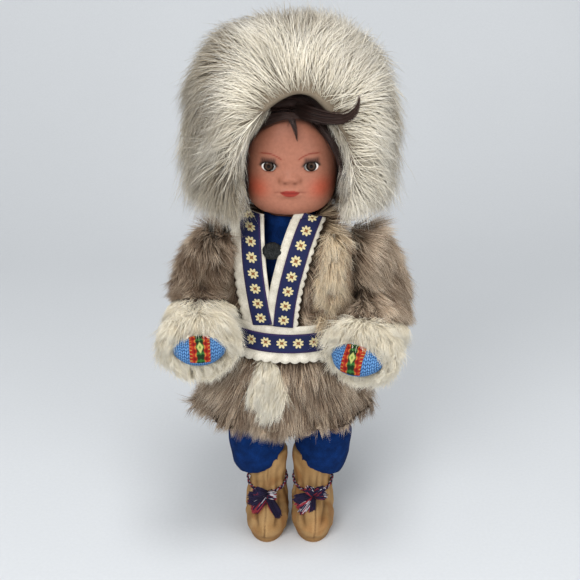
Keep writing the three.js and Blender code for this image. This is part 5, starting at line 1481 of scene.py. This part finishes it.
@dataclass
class Trim:
    """Felt facings, ribbon, belt, shirt, trouser seat and button on the torso."""

    half_width: float = 34.5 * MM
    depth_ratio: float = 0.88
    waist: float = 131 * MM
    belt_top: float = 141.4 * MM
    belt_foot: float = 121.6 * MM
    flare: float = 0.42
    shoulder: float = 172 * MM
    top: float = 198 * MM
    ribbon: float = 10 * MM
    belt_ribbon: float = 132.2 * MM  # height of the middle of the belt's ribbon
    daisies: int = 26  # round the belt
    belt_teeth: int = 46
    tooth: float = 4.6 * MM  # width of a scallop on the lapels
    pinking: float = 1 * MM  # depth of a scallop
    felt: float = 1 * MM  # thickness
    braid: float = 0.6 * MM

    def build(self) -> None:
        """Builds every piece of trim."""
        for side in Side:
            self.build_lapel(side)
        self.build_belt()
        self.build_shirt()
        self.build_button()

    def radius(self, z: Array) -> Array:
        """Half width of the coat's chest.

        Args:
            z: heights.

        Returns:
            The half width at each height.
        """
        wide = self.half_width
        points = [
            (0.97 * wide, self.waist),
            (wide, self.waist + 16.4 * MM),
            (0.99 * wide, self.shoulder - 6 * MM),
            (0.92 * wide, self.shoulder + 7.8 * MM),
            (21 * MM, self.top),
        ]
        curve = spline(points, 60)
        return np.interp(z, curve[:, 1], curve[:, 0])

    def front(self, x: Array, z: Array, out: float) -> Array:
        """Points over the coat's front.

        Args:
            x: how far each point is to the left.
            z: its height.
            out: how far the points lie off the coat.

        Returns:
            The points.
        """
        step = 0.5 * MM
        reach = np.maximum(self.radius(z), np.abs(x) + 2 * MM)
        y = -self.depth_ratio * np.sqrt(reach**2 - x**2)
        higher = np.maximum(self.radius(z + step), np.abs(x) + 2 * MM)
        slope = (-self.depth_ratio * np.sqrt(higher**2 - x**2) - y) / step
        across = self.depth_ratio * x / np.sqrt(reach**2 - x**2)
        normal = unit(np.column_stack([across, -np.ones_like(x), np.clip(slope, -1.2, 1.2)]))
        return np.column_stack([x, y, z]) + normal * out

    def lapel(self, side: Side) -> Array:
        """The line along the middle of a lapel's ribbon.

        Args:
            side: the side of the opening.

        Returns:
            x and z of its points, from its foot up.
        """
        foot, top = self.belt_top + 0.3 * MM, self.top + 1 * MM
        middle = (foot + top) / 2
        if side is Side.LEFT:
            points = np.array([(-3.5 * MM, foot), (-1.5 * MM, middle + 3 * MM), (11.5 * MM, top)])
        else:
            points = np.array([(-14 * MM, foot), (-20 * MM, middle), (-20 * MM, top)])
        t = np.linspace(0, 1, 181)[:, None]
        return (1 - t) ** 2 * points[0] + 2 * t * (1 - t) * points[1] + t**2 * points[2]

    def cut(self, rows: int, columns: int) -> tuple[bmesh.types.BMesh, Array, Array]:
        """Cuts a strip of cloth as a flat grid.

        Args:
            rows: faces along it.
            columns: faces across it.

        Returns:
            The grid, and the share of each of its points along and across the strip.
        """
        bm = bmesh.new()
        bmesh.ops.create_grid(bm, x_segments=rows, y_segments=columns, size=0.5)
        shares = np.array([v.co for v in bm.verts])[:, :2] + 0.5
        return bm, shares[:, 0], shares[:, 1]

    def lay(
        self, name: str, bm: bmesh.types.BMesh, points: Array, pairs: Array, thickness: float
    ) -> Mesh:
        """Lays a cut strip in its place.

        Args:
            name: name of the mesh.
            bm: the grid, which is freed.
            points: places of its points.
            pairs: (u, v) of its points.
            thickness: of the cloth, which grows inwards.

        Returns:
            The closed mesh, with a map named Ribbon.
        """
        layer = bm.loops.layers.uv.new("Ribbon")
        for vert, point, pair in zip(bm.verts, points, pairs):
            vert.co = point
            for loop in vert.link_loops:
                loop[layer].uv = pair
        bmesh.ops.recalc_face_normals(bm, faces=bm.faces)
        if sum(f.normal.y for f in bm.faces) > 0 and name.startswith(("left", "right")):
            bmesh.ops.reverse_faces(bm, faces=bm.faces)
        bmesh.ops.solidify(bm, geom=bm.faces[:], thickness=thickness)
        return new_mesh(name, bm)

    def along_lapel(
        self, track: tuple[Array, ...], along: Array, offset: Array, out: float
    ) -> tuple[Array, Array]:
        """Places of a strip on a lapel.

        Args:
            track: x and z along the lapel's middle line, x and z of the way across it, and the run along it.
            along: share of each point along the strip.
            offset: how far it lies across from the middle line.
            out: how far the strip lies off the coat.

        Returns:
            The points and their (u, v) pairs.
        """
        shares = track[-1] / track[-1][-1]
        x, z, across_x, across_z, run = (np.interp(along, shares, values) for values in track)
        points = self.front(x + across_x * offset, z + across_z * offset, out)
        return points, np.column_stack([run, offset])

    def round_waist(self, along: Array, z: Array, out: float) -> tuple[Array, Array]:
        """Places of a strip round the waist.

        Args:
            along: share of each point round it, from the back.
            z: its height.
            out: how far the strip lies off the coat.

        Returns:
            The points and their (u, v) pairs.
        """
        angle = 2 * math.pi * (along + 0.5)
        lift = out + self.flare * np.maximum(0, self.waist - z)
        x = (self.half_width + lift) * np.sin(angle)
        y = -(self.half_width * self.depth_ratio + lift) * np.cos(angle)
        pairs = np.column_stack([along * self.daisies * Finishes.daisy_pitch, z - self.belt_ribbon])
        return np.column_stack([x, y, z]), pairs

    def build_lapel(self, side: Side) -> None:
        """One felt facing with a pinked outer edge, and the ribbon sewn on it.

        Args:
            side: the side of the opening.
        """
        word = side.value
        line = self.lapel(side)
        ahead = unit(np.gradient(line, axis=0))
        across = np.column_stack([-ahead[:, 1], ahead[:, 0]]) * -side.sign
        middle = self.front(*line.T, 0.0)
        run = np.concatenate([[0], np.cumsum(np.linalg.norm(np.diff(middle, axis=0), axis=1))])
        track = (*line.T, *across.T, run)
        inner, outer = {Side.LEFT: (4.2 * MM, 2.6 * MM), Side.RIGHT: (1.6 * MM, 6 * MM)}[side]
        lower = 0.0 if side is Side.LEFT else -0.15 * MM
        half = 0.5 * self.ribbon
        bm, along, share = self.cut(150, 12)
        scallop = np.abs(np.sin(math.pi * (along * run[-1]) / self.tooth))
        low, high = -half - inner, half + outer - self.pinking * (1 - scallop)
        laid = self.along_lapel(track, along, low + (high - low) * share, 1.5 * MM + lower)
        mesh = self.lay(f"{word}_facing_felt", bm, *laid, self.felt)
        piece = add_piece(mesh.name, mesh, Finishes.cream_felt, "torso", "cream_felt", f"{word}_lapel_felt")
        bm, along, share = self.cut(120, 10)
        laid = self.along_lapel(track, along, self.ribbon * share - half, 2.2 * MM + lower)
        mesh = self.lay(f"{word}_facing_ribbon", bm, *laid, self.braid)
        piece = add_piece(mesh.name, mesh, Finishes.braid, "torso", "navy_braid", f"{word}_lapel_braid")

    def build_belt(self) -> None:
        """The felt belt with a pinked lower edge, and the ribbon round it."""
        height = self.belt_top - self.belt_foot
        felt = (Finishes.cream_felt, "torso", "cream_felt", "belt_felt")
        braid = (Finishes.braid, "torso", "navy_braid", "belt_braid")
        edge = self.belt_ribbon - 0.5 * self.ribbon
        for name, rows, foot, tall, pinking, out, thickness, look in (
            ("belt_band", 576, self.belt_foot, height, self.pinking, 1.3 * MM, self.felt, felt),
            ("belt_ribbon", 288, edge, self.ribbon, 0.0, 2.2 * MM, self.braid, braid),
        ):
            bm, along, share = self.cut(rows, 8)
            low = foot + pinking * (1 - np.abs(np.sin(math.pi * self.belt_teeth * along)))
            laid = self.round_waist(along, low + (foot + tall - low) * share, out)
            mesh = self.lay(name, bm, *laid, thickness)
            bm = bmesh.new()
            bm.from_mesh(mesh)
            bmesh.ops.remove_doubles(bm, verts=bm.verts, dist=0.01 * MM)
            bm.to_mesh(mesh)
            bm.free()
            piece = add_piece(name, mesh, *look)

    def build_shirt(self) -> None:
        """The felt shirt that shows in the neck of the coat, and the trousers' seat."""
        for name, node in (("shirt_cloth", "shirt"), ("trouser_seat_cloth", "trouser_seat")):
            mesh = skin(name, (node,), 1.4 * MM, 4)
            at, normals = places(mesh), directions(mesh)
            fold = 0.25 * MM * drift(at * np.array([1, 1, 0.4]), 14 * MM, 31)
            move(mesh, at + normals * fold[:, None])
            add_piece(name, mesh, Finishes.blue_felt, "torso", "blue_felt", node)

    def build_button(self) -> None:
        """The knotted cord button: a dome of crossing turns of cord."""
        low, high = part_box("neck_button")
        bm = bmesh.new()
        bmesh.ops.create_uvsphere(bm, u_segments=72, v_segments=44, radius=1)
        mesh = new_mesh("knot_button", bm)
        at = places(mesh)
        around = np.arctan2(at[:, 1], at[:, 0])
        height = np.arcsin(np.clip(at[:, 2], -1, 1))
        turns = np.maximum(np.sin(5 * around + 6 * height), np.sin(5 * around - 6 * height))
        at = at * (0.84 + 0.16 * np.abs(turns))[:, None] * np.array([5.4, 4.7, 3.1]) * MM
        lean = np.array(Matrix.Rotation(math.pi / 2 - 0.5, 3, "X"))
        move(mesh, at @ lean.T + np.array((low + high) / 2) + np.array([0, -0.8, 0.0]) * MM)
        add_piece("knot_button", mesh, Finishes.black_cord, "torso", "black_knot", "neck_button")


# the arms


@dataclass
class Arm:
    """A fur sleeve with a white fur cuff, and a knitted mitten with an ornament band."""

    side: Side
    sleeve_middle: Spot = (44 * MM, -8 * MM, 148 * MM)  # of the left arm
    seam_tilt: float = math.radians(22)  # lean of the plane where the white cuff is sewn to the sleeve
    pile: float = 3.0 * MM  # how deep the hides lie under the solids' outside
    sleeve_hairs: int = 14000
    cuff_hairs: int = 8200
    # long, straight and loose
    cuff_pelt: Fur = Fur(
        17 * MM, lift=0.28, width=0.36 * MM, droop=0.2, uneven=0.3, clump=0.6, clump_size=4.5 * MM,
        patch=12 * MM, tone=0.7, contrast=0.46, rise=4.5 * MM,
    )
    # straight and paler on the left arm, shorter and curled on the right
    left_pelt: Fur = Fur(
        15 * MM, lift=0.24, droop=0.25, uneven=0.3, stray=0.1, clump=0.6, patch=15 * MM, contrast=0.52,
        swirl=0.25,
    )
    right_pelt: Fur = Fur(
        12 * MM, lift=0.36, droop=0.2, uneven=0.35, stray=0.22, clump=0.6, patch=13 * MM, tone=0.24,
        contrast=0.5, swirl=0.9,
    )

    @property
    def body(self) -> str:
        """The body that the arm's pieces move with."""
        return f"{self.side.value}_arm"

    def build(self) -> None:
        """Builds every piece of the arm."""
        nodes = [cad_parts[f"{self.side.value}_{piece}"] for piece in ("mitten", "cuff")]
        points = [places(node.data) for node in nodes]
        self.hand, self.wrist = ((p.min(0) + p.max(0)) / 2 for p in points)
        self.ahead = unit(self.hand - self.wrist)
        self.build_sleeve()
        self.build_cuff()
        self.build_mitten()

    def over_seam(self, at: Array) -> Array:
        """How far points lie above the cuff's seam."""
        height = math.sin(self.seam_tilt) * at[:, 1] + math.cos(self.seam_tilt) * at[:, 2]
        return height - (124 if self.side is Side.LEFT else 135) * MM

    def build_sleeve(self) -> None:
        """The sleeve, with its hair lying down the arm."""
        word = self.side.value
        rng = np.random.default_rng(12 + self.side.sign)
        hide = skin(f"{word}_sleeve_hide", (f"{word}_sleeve",), 1.4 * MM, 6)
        at, normals = places(hide), directions(hide)
        axis = np.array(self.sleeve_middle) * np.array([self.side.sign, 1, 1])
        facing = ease(dot(normals, unit(at - axis)), 0.0, 0.6)
        facing *= 1 - ease(-normals[:, 0] * self.side.sign, 0.5, 0.85)
        move(hide, at - normals * (self.pile * facing)[:, None])
        soften(hide, 3)
        soften(hide, 40, Vector((self.side.sign * 46 * MM, -24 * MM, 158 * MM)), 14 * MM)
        slot = "grey_fur"
        add_piece(f"{word}_sleeve_hide", hide, Finishes.dark_hide, self.body, slot, f"{word}_sleeve")
        roots, normals = scatter(hide, 34000, rng)
        keep = dot(normals, unit(roots - axis)) > 0.15
        keep &= normals[:, 0] * self.side.sign > -0.75
        roots, normals = roots[keep][: self.sleeve_hairs], normals[keep][: self.sleeve_hairs]
        top = ease(roots[:, 2], 164 * MM, 176 * MM) * ease(-roots[:, 1], 2 * MM, 8 * MM)
        top *= 1 - ease(np.abs(roots[:, 0]), 36 * MM, 44 * MM)
        if self.side is Side.LEFT:
            pelt = self.left_pelt
            aside = 0.35 + 0.75 * ease(roots[:, 2], 145 * MM, 178 * MM)
        else:
            pelt = self.right_pelt
            inner = ease(normals[:, 0], -0.1, 0.45) * ease(-roots[:, 1], 0.0, 10 * MM)
            aside = 1.1 * inner - 0.25 + 1.2 * top
        flow = DOWN + 0.55 * self.ahead + aside[:, None] * LEFTWARD
        over = self.over_seam(roots)
        grey = over > 0
        trim = (0.4 + 0.6 * ease(over, 1 * MM, 9 * MM)) * (1 + 0.4 * top)
        name = f"{word}_sleeve_fur"
        stand = 9 * MM * ease(roots[:, 2], 172 * MM, 184 * MM) * ease(normals[:, 2], 0.1, 0.6)
        stand *= 1 - ease(np.abs(roots[:, 0]), 38 * MM, 48 * MM)
        parts = (values[grey] for values in (roots, normals, flow))
        mesh = pelt.grow(hide, name, *parts, rng, trim[grey], stand=stand[grey])
        add_piece(name, mesh, Finishes.coat, self.body, slot)
        name = f"{word}_cuff_top_fur"
        mesh = self.cuff_pelt.grow(hide, name, roots[~grey], normals[~grey], flow[~grey], rng)
        add_piece(name, mesh, Finishes.white, self.body, "white_fur")

    def build_cuff(self) -> None:
        """The cuff, whose hairs stand out all round the wrist."""
        word = self.side.value
        rng = np.random.default_rng(40 + self.side.sign)
        hide = skin(f"{word}_cuff_hide", (f"{word}_cuff",), 1.1 * MM, 4)
        at, normals = places(hide), directions(hide)
        move(hide, at - normals * (self.pile * self.outward(at, normals))[:, None])
        soften(hide, 3)
        add_piece(f"{word}_cuff_hide", hide, Finishes.pale_hide, self.body, "white_fur", f"{word}_cuff")
        roots, normals = scatter(hide, 22000, rng)
        keep = self.outward(roots, normals) > 0.2
        roots, normals = roots[keep][: self.cuff_hairs], normals[keep][: self.cuff_hairs]
        fan = self.from_axis(roots)
        fan[:, 2] = np.minimum(fan[:, 2], 0.1)
        flow = 0.6 * fan + 0.8 * self.ahead + 0.7 * DOWN
        trim = 1 - 0.5 * ease(normals @ self.ahead, 0.3, 0.9)
        mesh = self.cuff_pelt.grow(hide, f"{word}_cuff_fur", roots, normals, flow, rng, trim)
        add_piece(f"{word}_cuff_fur", mesh, Finishes.white, self.body, "white_fur")

    def from_axis(self, at: Array) -> Array:
        """The direction from the wrist's axis to each point."""
        away = at - self.wrist
        return unit(away - (away @ self.ahead)[:, None] * self.ahead)

    def outward(self, at: Array, normals: Array) -> Array:
        """How far points of the cuff face out from the wrist or ahead, from 0 to 1."""
        out = dot(normals, self.from_axis(at))
        return ease(np.maximum(out, 0.9 * normals @ self.ahead), 0.1, 0.6)

    def build_mitten(self) -> None:
        """The knitted mitten and the ornament band over its tip."""
        word = self.side.value
        across = unit(np.cross(self.ahead, [0, 0, 1.0]))
        over = np.cross(across, self.ahead)
        mesh = skin(f"{word}_mitten_knit", (f"{word}_mitten",), 0.95 * MM, 5)
        axes = np.column_stack([across, over, self.ahead])
        local = (places(mesh) - self.hand) @ axes
        local[:, 0] *= 1.1
        move(mesh, local @ axes.T + self.hand)
        turn = np.arctan2(local[:, 1], local[:, 2]) * 11 * MM
        map_points(mesh, "Knit", np.column_stack([local[:, 0], turn]))
        add_piece(f"{word}_mitten_knit", mesh, Finishes.mitten, self.body, "blue_knit", f"{word}_mitten")
        band = skin(f"{word}_ornament", (f"{word}_mitten_band",), 0.35 * MM, 3)
        local = (places(band) - self.hand) @ axes / MM
        turn = np.arctan2(local[:, 1], local[:, 2])
        run = (turn - (turn.min() + turn.max()) / 2) * 12.5
        paint(band, self.ornament(local[:, 0] - local[:, 0].mean(), run))
        add_piece(f"{word}_ornament", band, Finishes.band, self.body, "band_weave", f"{word}_mitten_band")

    def ornament(self, x: Array, run: Array) -> Array:
        """Paints the band: a diamond on green between red and gold scrolls.

        Args:
            x: place of each point across the band, in millimetres.
            run: its place along the band.

        Returns:
            A linear RGB colour for each point.
        """
        wave = np.abs((run / 3.0) % 1 - 0.5) * 2
        edge = np.abs(x) - 1.7 - 0.6 * wave
        coats = [
            ("#2c5f2a", ease(np.sin(2.1 * run) + 0.4 * np.cos(3 * x), 0.1, 0.7)),
            ("#a3a861", 1 - ease(np.abs(x) / 1.8 + np.abs(run) / 2.5, 0.85, 1.1)),
            ("#4f6e2c", 1 - ease(np.abs(x) / 0.6 + np.abs(run) / 0.9, 0.8, 1.1)),
            ("#8c1b15", ease(edge, -0.15, 0.15)),
            ("#c07a35", bump(edge, 0.25, 0.2) * ease(wave, 0.35, 0.7)),
            ("#5c120f", bump(edge, 1.2, 0.35) * (1 - ease(wave, 0.3, 0.6))),
            ("#a8401f", bump(edge, 1.7, 0.25) * ease(wave, 0.4, 0.8)),
            ("#a88a44", ease(np.abs(x), 4.1, 4.4) * ease(np.sin(4.2 * run), 0.5, 0.9)),
        ]
        return layered("#132a14", len(x), coats)


# the legs


@dataclass
class Leg:
    """A felt trouser leg over a hide boot, tied with a plaited cord that ends in tassels."""

    side: Side
    ankle: tuple[float, float] = (13.6 * MM, 1.5 * MM)
    tie_height: float = 29 * MM
    tie_radius: float = 11.6 * MM
    tie_slope: float = 0.3
    tuft_strands: int = 190
    # angle in degrees, length in millimetres, and shares of red and white yarn
    right_tufts: tuple[Tuft, ...] = (
        (135, 9.0, 0.12, 0.0), (162, 10.5, 0.05, 0.0), (195, 10.5, 0.1, 0.02), (230, 11.5, 0.8, 0.03),
        (300, 13.5, 0.04, 0.0), (5, 4.5, 0.4, 0.3),
    )
    left_tufts: tuple[Tuft, ...] = (
        (178, 11.0, 0.06, 0.0), (207, 10.5, 0.8, 0.03), (232, 11.5, 0.2, 0.55), (264, 10.5, 0.45, 0.0),
        (55, 9.0, 0.1, 0.05), (112, 7.5, 0.25, 0.05), (14, 7.0, 0.3, 0.1),
    )

    @property
    def body(self) -> str:
        """The body that the leg's pieces move with."""
        return f"{self.side.value}_leg"

    def build(self) -> None:
        """Builds every piece of the leg."""
        self.build_trousers()
        self.build_boot()
        self.build_tie()
        self.build_tassel()

    def build_trousers(self) -> None:
        """The trouser leg, creased where it bags over the boot."""
        word = self.side.value
        name, node = f"{word}_trouser_cloth", f"{word}_trouser_leg"
        mesh = skin(name, (node,), 1.4 * MM, 6)
        at, normals = places(mesh), directions(mesh)
        out = at[:, 0] * self.side.sign
        sag = drift(at * np.array([1, 1, 1.6]), 26 * MM, 50 + self.side.sign)
        crease = bump(at[:, 2] + 0.25 * out, (92 if self.side is Side.RIGHT else 80) * MM, 2.6 * MM)
        crease *= ease(out, 16 * MM, 32 * MM)
        shift = 0.55 * MM * sag - 1.5 * MM * crease
        move(mesh, at + normals * shift[:, None])
        soften(mesh, 2)
        add_piece(name, mesh, Finishes.blue_felt, self.body, "blue_felt", node)

    def build_boot(self) -> None:
        """The boot, gathered at the ankle, with a raised seam up its toe."""
        word = self.side.value
        mesh = skin(f"{word}_boot_hide", (f"{word}_boot", f"{word}_boot_sole"), 0.85 * MM, 7)
        at, normals = places(mesh), directions(mesh)
        # the upper is turned down round the sole, whose flat underside stays bare
        at = at + normals * (0.4 * MM * (1 - ease(at[:, 2], 4 * MM, 8 * MM)))[:, None]
        at[:, 2] = np.maximum(at[:, 2], 0.5 * MM)
        x = at[:, 0] - self.side.sign * self.ankle[0]
        y, z = at[:, 1] - self.ankle[1], at[:, 2]
        ahead = ease(-y, 6 * MM, 14 * MM)
        lean = x - self.side.sign * 1.0 * MM - 0.06 * (z - 12 * MM)
        ridge = bump(lean, 0, 1.1 * MM) * ahead * ease(normals[:, 1] * -1 + normals[:, 2], 0.2, 0.7)
        seam = bump(lean, 0, 0.35 * MM) * ahead
        around = np.arctan2(x, -y)
        gather = np.cos(13 * around + 1.2 * np.sin(3 * around))
        gather *= bump(z + 0.3 * y, self.tie_height - 5 * MM, 7 * MM)
        fold = bump(np.abs(x) - 6 * MM - 0.25 * (z - 14 * MM), 0, 0.9 * MM) * ahead * ease(z, 9 * MM, 15 * MM)
        crumple = drift(at, 9 * MM, 60 + self.side.sign)
        shift = 0.9 * ridge - 0.7 * seam + 0.6 * gather - 1.3 * fold + 0.3 * crumple
        shift *= ease(z, 2.5 * MM, 5 * MM)
        move(mesh, at + normals * (shift * MM)[:, None])
        coats = [
            ("#8f6c42", 0.5 + 0.5 * drift(at, 12 * MM, 71)),
            ("#8a5427", 0.35 * ease(drift(at, 16 * MM, 73), 0.2, 0.7)),
            # painted shade in the seam's groove, in the folds and in the hollows of the gathers
            ("#55381c", 0.75 * seam + 0.7 * fold + 0.4 * np.clip(-gather, 0, 1)),
            # painted highlight along the raised ridge of the seam
            ("#bd9a6a", 0.5 * ridge * (1 - seam)),
            # painted shade towards the floor, which also blends the boot into the sole
            ("#84623c", 0.8 * (1 - ease(z, 1 * MM, 7 * MM))),
        ]
        paint(mesh, layered("#a58357", len(at), coats))
        add_piece(f"{word}_boot_hide", mesh, Finishes.boot, self.body, "tan_hide", f"{word}_boot")

    def build_tie(self) -> None:
        """Three strands of yarn plaited round the ankle."""
        word = self.side.value
        middle = np.array([self.side.sign * self.ankle[0], self.ankle[1], self.tie_height])
        angle = np.linspace(0, 2 * math.pi, 193)[:-1]
        strands = ((Finishes.yarn, 0.0, 1.3), (Finishes.yarn, 1.0, 0.95), (Finishes.pale_yarn, 0.5, 0.85))
        for i, (finish, tone, thick) in enumerate(strands):
            phase = 2 * math.pi * i / 3
            radius = self.tie_radius + 0.4 * MM * np.cos(16 * angle + phase)
            ring = np.column_stack([radius * np.sin(angle), -radius * np.cos(angle), np.zeros_like(angle)])
            ring[:, 2] = self.tie_slope * ring[:, 1] + 0.45 * MM * np.sin(32 * angle + 2 * phase)
            ring = ring + middle
            ring = ring[ring[:, 0] * self.side.sign > 0.9 * MM]
            after = np.roll(ring, -1, axis=0)
            near = np.linalg.norm(after - ring, axis=1) < 2 * MM
            start, end = ring[near], after[near]
            over = (end - start) * 0.12
            width = np.full(len(start), thick * MM)
            tones = np.full(len(start), tone)
            parts = (start - over, (start + end) / 2, end + over, width, tones)
            mesh = strand_mesh(f"{word}_tie_{i + 1}", *parts, (0.5,), Tip.CUT)
            nodes = (f"{word}_boot_tie",) if i == 0 else ()
            add_piece(mesh.name, mesh, finish, self.body, "yarn", *nodes)

    def build_tassel(self) -> None:
        """Tufts of cut yarn that fan out over the instep from the knot of the tie."""
        word = self.side.value
        rng = np.random.default_rng(80 + self.side.sign)
        low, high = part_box(f"{word}_tassel")
        ahead = self.ankle[1] - self.tie_radius - 3 * MM
        knot = np.array([(low.x + high.x) / 2, ahead, self.tie_height - 3.6 * MM])
        tufts = self.left_tufts if self.side is Side.LEFT else self.right_tufts
        count = self.tuft_strands
        roots, bends, ends, tones = [], [], [], []
        for degrees, length, red, white in tufts:
            angle = math.radians(degrees)
            way = unit(np.array([math.cos(angle), -0.5, 0.85 * math.sin(angle)]))
            spread = unit(rng.normal(size=(count, 3))) * rng.uniform(0, 1, (count, 1)) ** 0.5
            start = knot + spread * 1.9 * MM
            end = knot + way * length * MM * rng.uniform(0.9, 1.02, (count, 1)) + spread * 2.8 * MM
            bends.append((start + end) / 2 + np.array([0, -1.6, 0.8]) * MM + spread * 0.5 * MM)
            roots.append(start)
            ends.append(end)
            place = np.argsort(np.argsort(spread[:, 0] + spread[:, 2] + 0.7 * rng.normal(size=count))) / count
            tones.append(np.where(place < red, 1.0, np.where(place > 1 - white, 2.0, 0.0)))
        root, bend, end, tone = (np.concatenate(p) for p in (roots, bends, ends, tones))
        nodes = (f"{word}_tassel",)
        for name, finish, chosen in (
            (f"{word}_tuft", Finishes.yarn, tone < 1.5),
            (f"{word}_tuft_white", Finishes.pale_yarn, tone > 1.5),
        ):
            width = rng.uniform(0.5, 0.8, chosen.sum()) * MM
            parts = (root[chosen], bend[chosen], end[chosen], width, np.minimum(tone[chosen], 1.0))
            mesh = strand_mesh(name, *parts, (0.3, 0.6), Tip.CUT)
            add_piece(name, mesh, finish, self.body, "yarn", *nodes)
            nodes = ()


# the studio


@dataclass
class Studio:
    """A pale sweep, soft light and the camera at the photograph's angle."""

    target: Spot = (0.0, 0.0, 150 * MM)
    distance: float = 600 * MM
    elevation: float = 22.0
    lens: float = 66.9

    def build(self) -> None:
        """Builds the floor, the lights and the camera."""
        self.build_floor()
        self.build_light("key", (-0.45, -1.05, 0.85), 0.7, 12.0)
        self.build_light("fill", (0.7, -0.95, 0.45), 0.9, 6.2)
        self.build_light("top", (0.05, -0.3, 1.3), 0.4, 6.5)
        world = bpy.data.worlds.new("studio")
        bpy.context.scene.world = world
        world.use_nodes = True
        sky = world.node_tree.nodes["Background"]
        sky.inputs["Color"].default_value = linear("#eceef0")
        sky.inputs["Strength"].default_value = 0.42
        bpy.context.scene.view_settings.view_transform = "Standard"
        self.build_camera()

    def build_floor(self) -> None:
        """A floor that bends up into a backdrop."""
        bm = bmesh.new()
        bmesh.ops.create_grid(bm, x_segments=40, y_segments=80, size=1.6)
        bend, start = 0.5, 0.45
        for vert in bm.verts:
            run = vert.co.y - start
            if run > 0:
                angle = min(run / bend, math.pi / 2)
                rest = max(0.0, run - bend * math.pi / 2)
                vert.co.y = start + bend * math.sin(angle)
                vert.co.z = bend * (1 - math.cos(angle)) + rest
        mesh = new_mesh("sweep", bm)
        floor = bpy.data.objects.new("sweep", mesh)
        bpy.context.scene.collection.objects.link(floor)
        # matt paper: an even pale ground that keeps a soft shadow
        paper = Cloth("sweep_paper", "#d2d5d8", "#d7dadd", 2 * MM, 400 * MM, 0.02 * MM).material()
        mesh.materials.append(paper)

    def build_light(self, name: str, place: Spot, size: float, power: float) -> None:
        """One large soft light that faces the doll.

        Args:
            name: name of the light.
            place: where it stands.
            size: its width.
            power: its power in watts.
        """
        data = bpy.data.lights.new(name, "AREA")
        data.size = size
        data.energy = power
        lamp = bpy.data.objects.new(name, data)
        bpy.context.scene.collection.objects.link(lamp)
        lamp.location = place
        lamp.rotation_euler = (Vector(self.target) - Vector(place)).to_track_quat("-Z", "Y").to_euler()

    def build_camera(self) -> None:
        """The camera looks down on the doll's middle."""
        data = bpy.data.cameras.new("camera")
        data.lens = self.lens
        data.sensor_width = 36
        data.clip_start = 0.01
        camera = bpy.data.objects.new("camera", data)
        bpy.context.scene.collection.objects.link(camera)
        tilt = math.radians(self.elevation)
        away = Vector((0, -math.cos(tilt), math.sin(tilt))) * self.distance
        camera.location = Vector(self.target) + away
        camera.rotation_euler = (-away).to_track_quat("-Z", "Y").to_euler()
        bpy.context.scene.camera = camera


def dress_nodes() -> None:
    """Gives the CAD nodes that no piece stands for their finishes."""
    finishes = {
        Finishes.body_vinyl: ("torso_shell", "left_arm", "right_arm", "left_leg", "right_leg", "eye_cradle"),
        Finishes.sole: ("left_boot_sole", "right_boot_sole"),
        Finishes.steel: ("eye_bar",),
        Finishes.lead: ("eye_weight",),
    }
    for material, nodes in finishes.items():
        for node in nodes:
            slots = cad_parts[node].data.materials
            slots.clear()
            slots.append(material)


def main() -> None:
    """Builds the whole picture."""
    logging.basicConfig(level=logging.INFO, format="%(message)s")
    Studio().build()
    Head().build()
    Hood().build()
    Coat().build()
    Trim().build()
    for side in Side:
        Arm(side).build()
        Leg(side).build()
    dress_nodes()


if __name__ == "__main__":
    main()
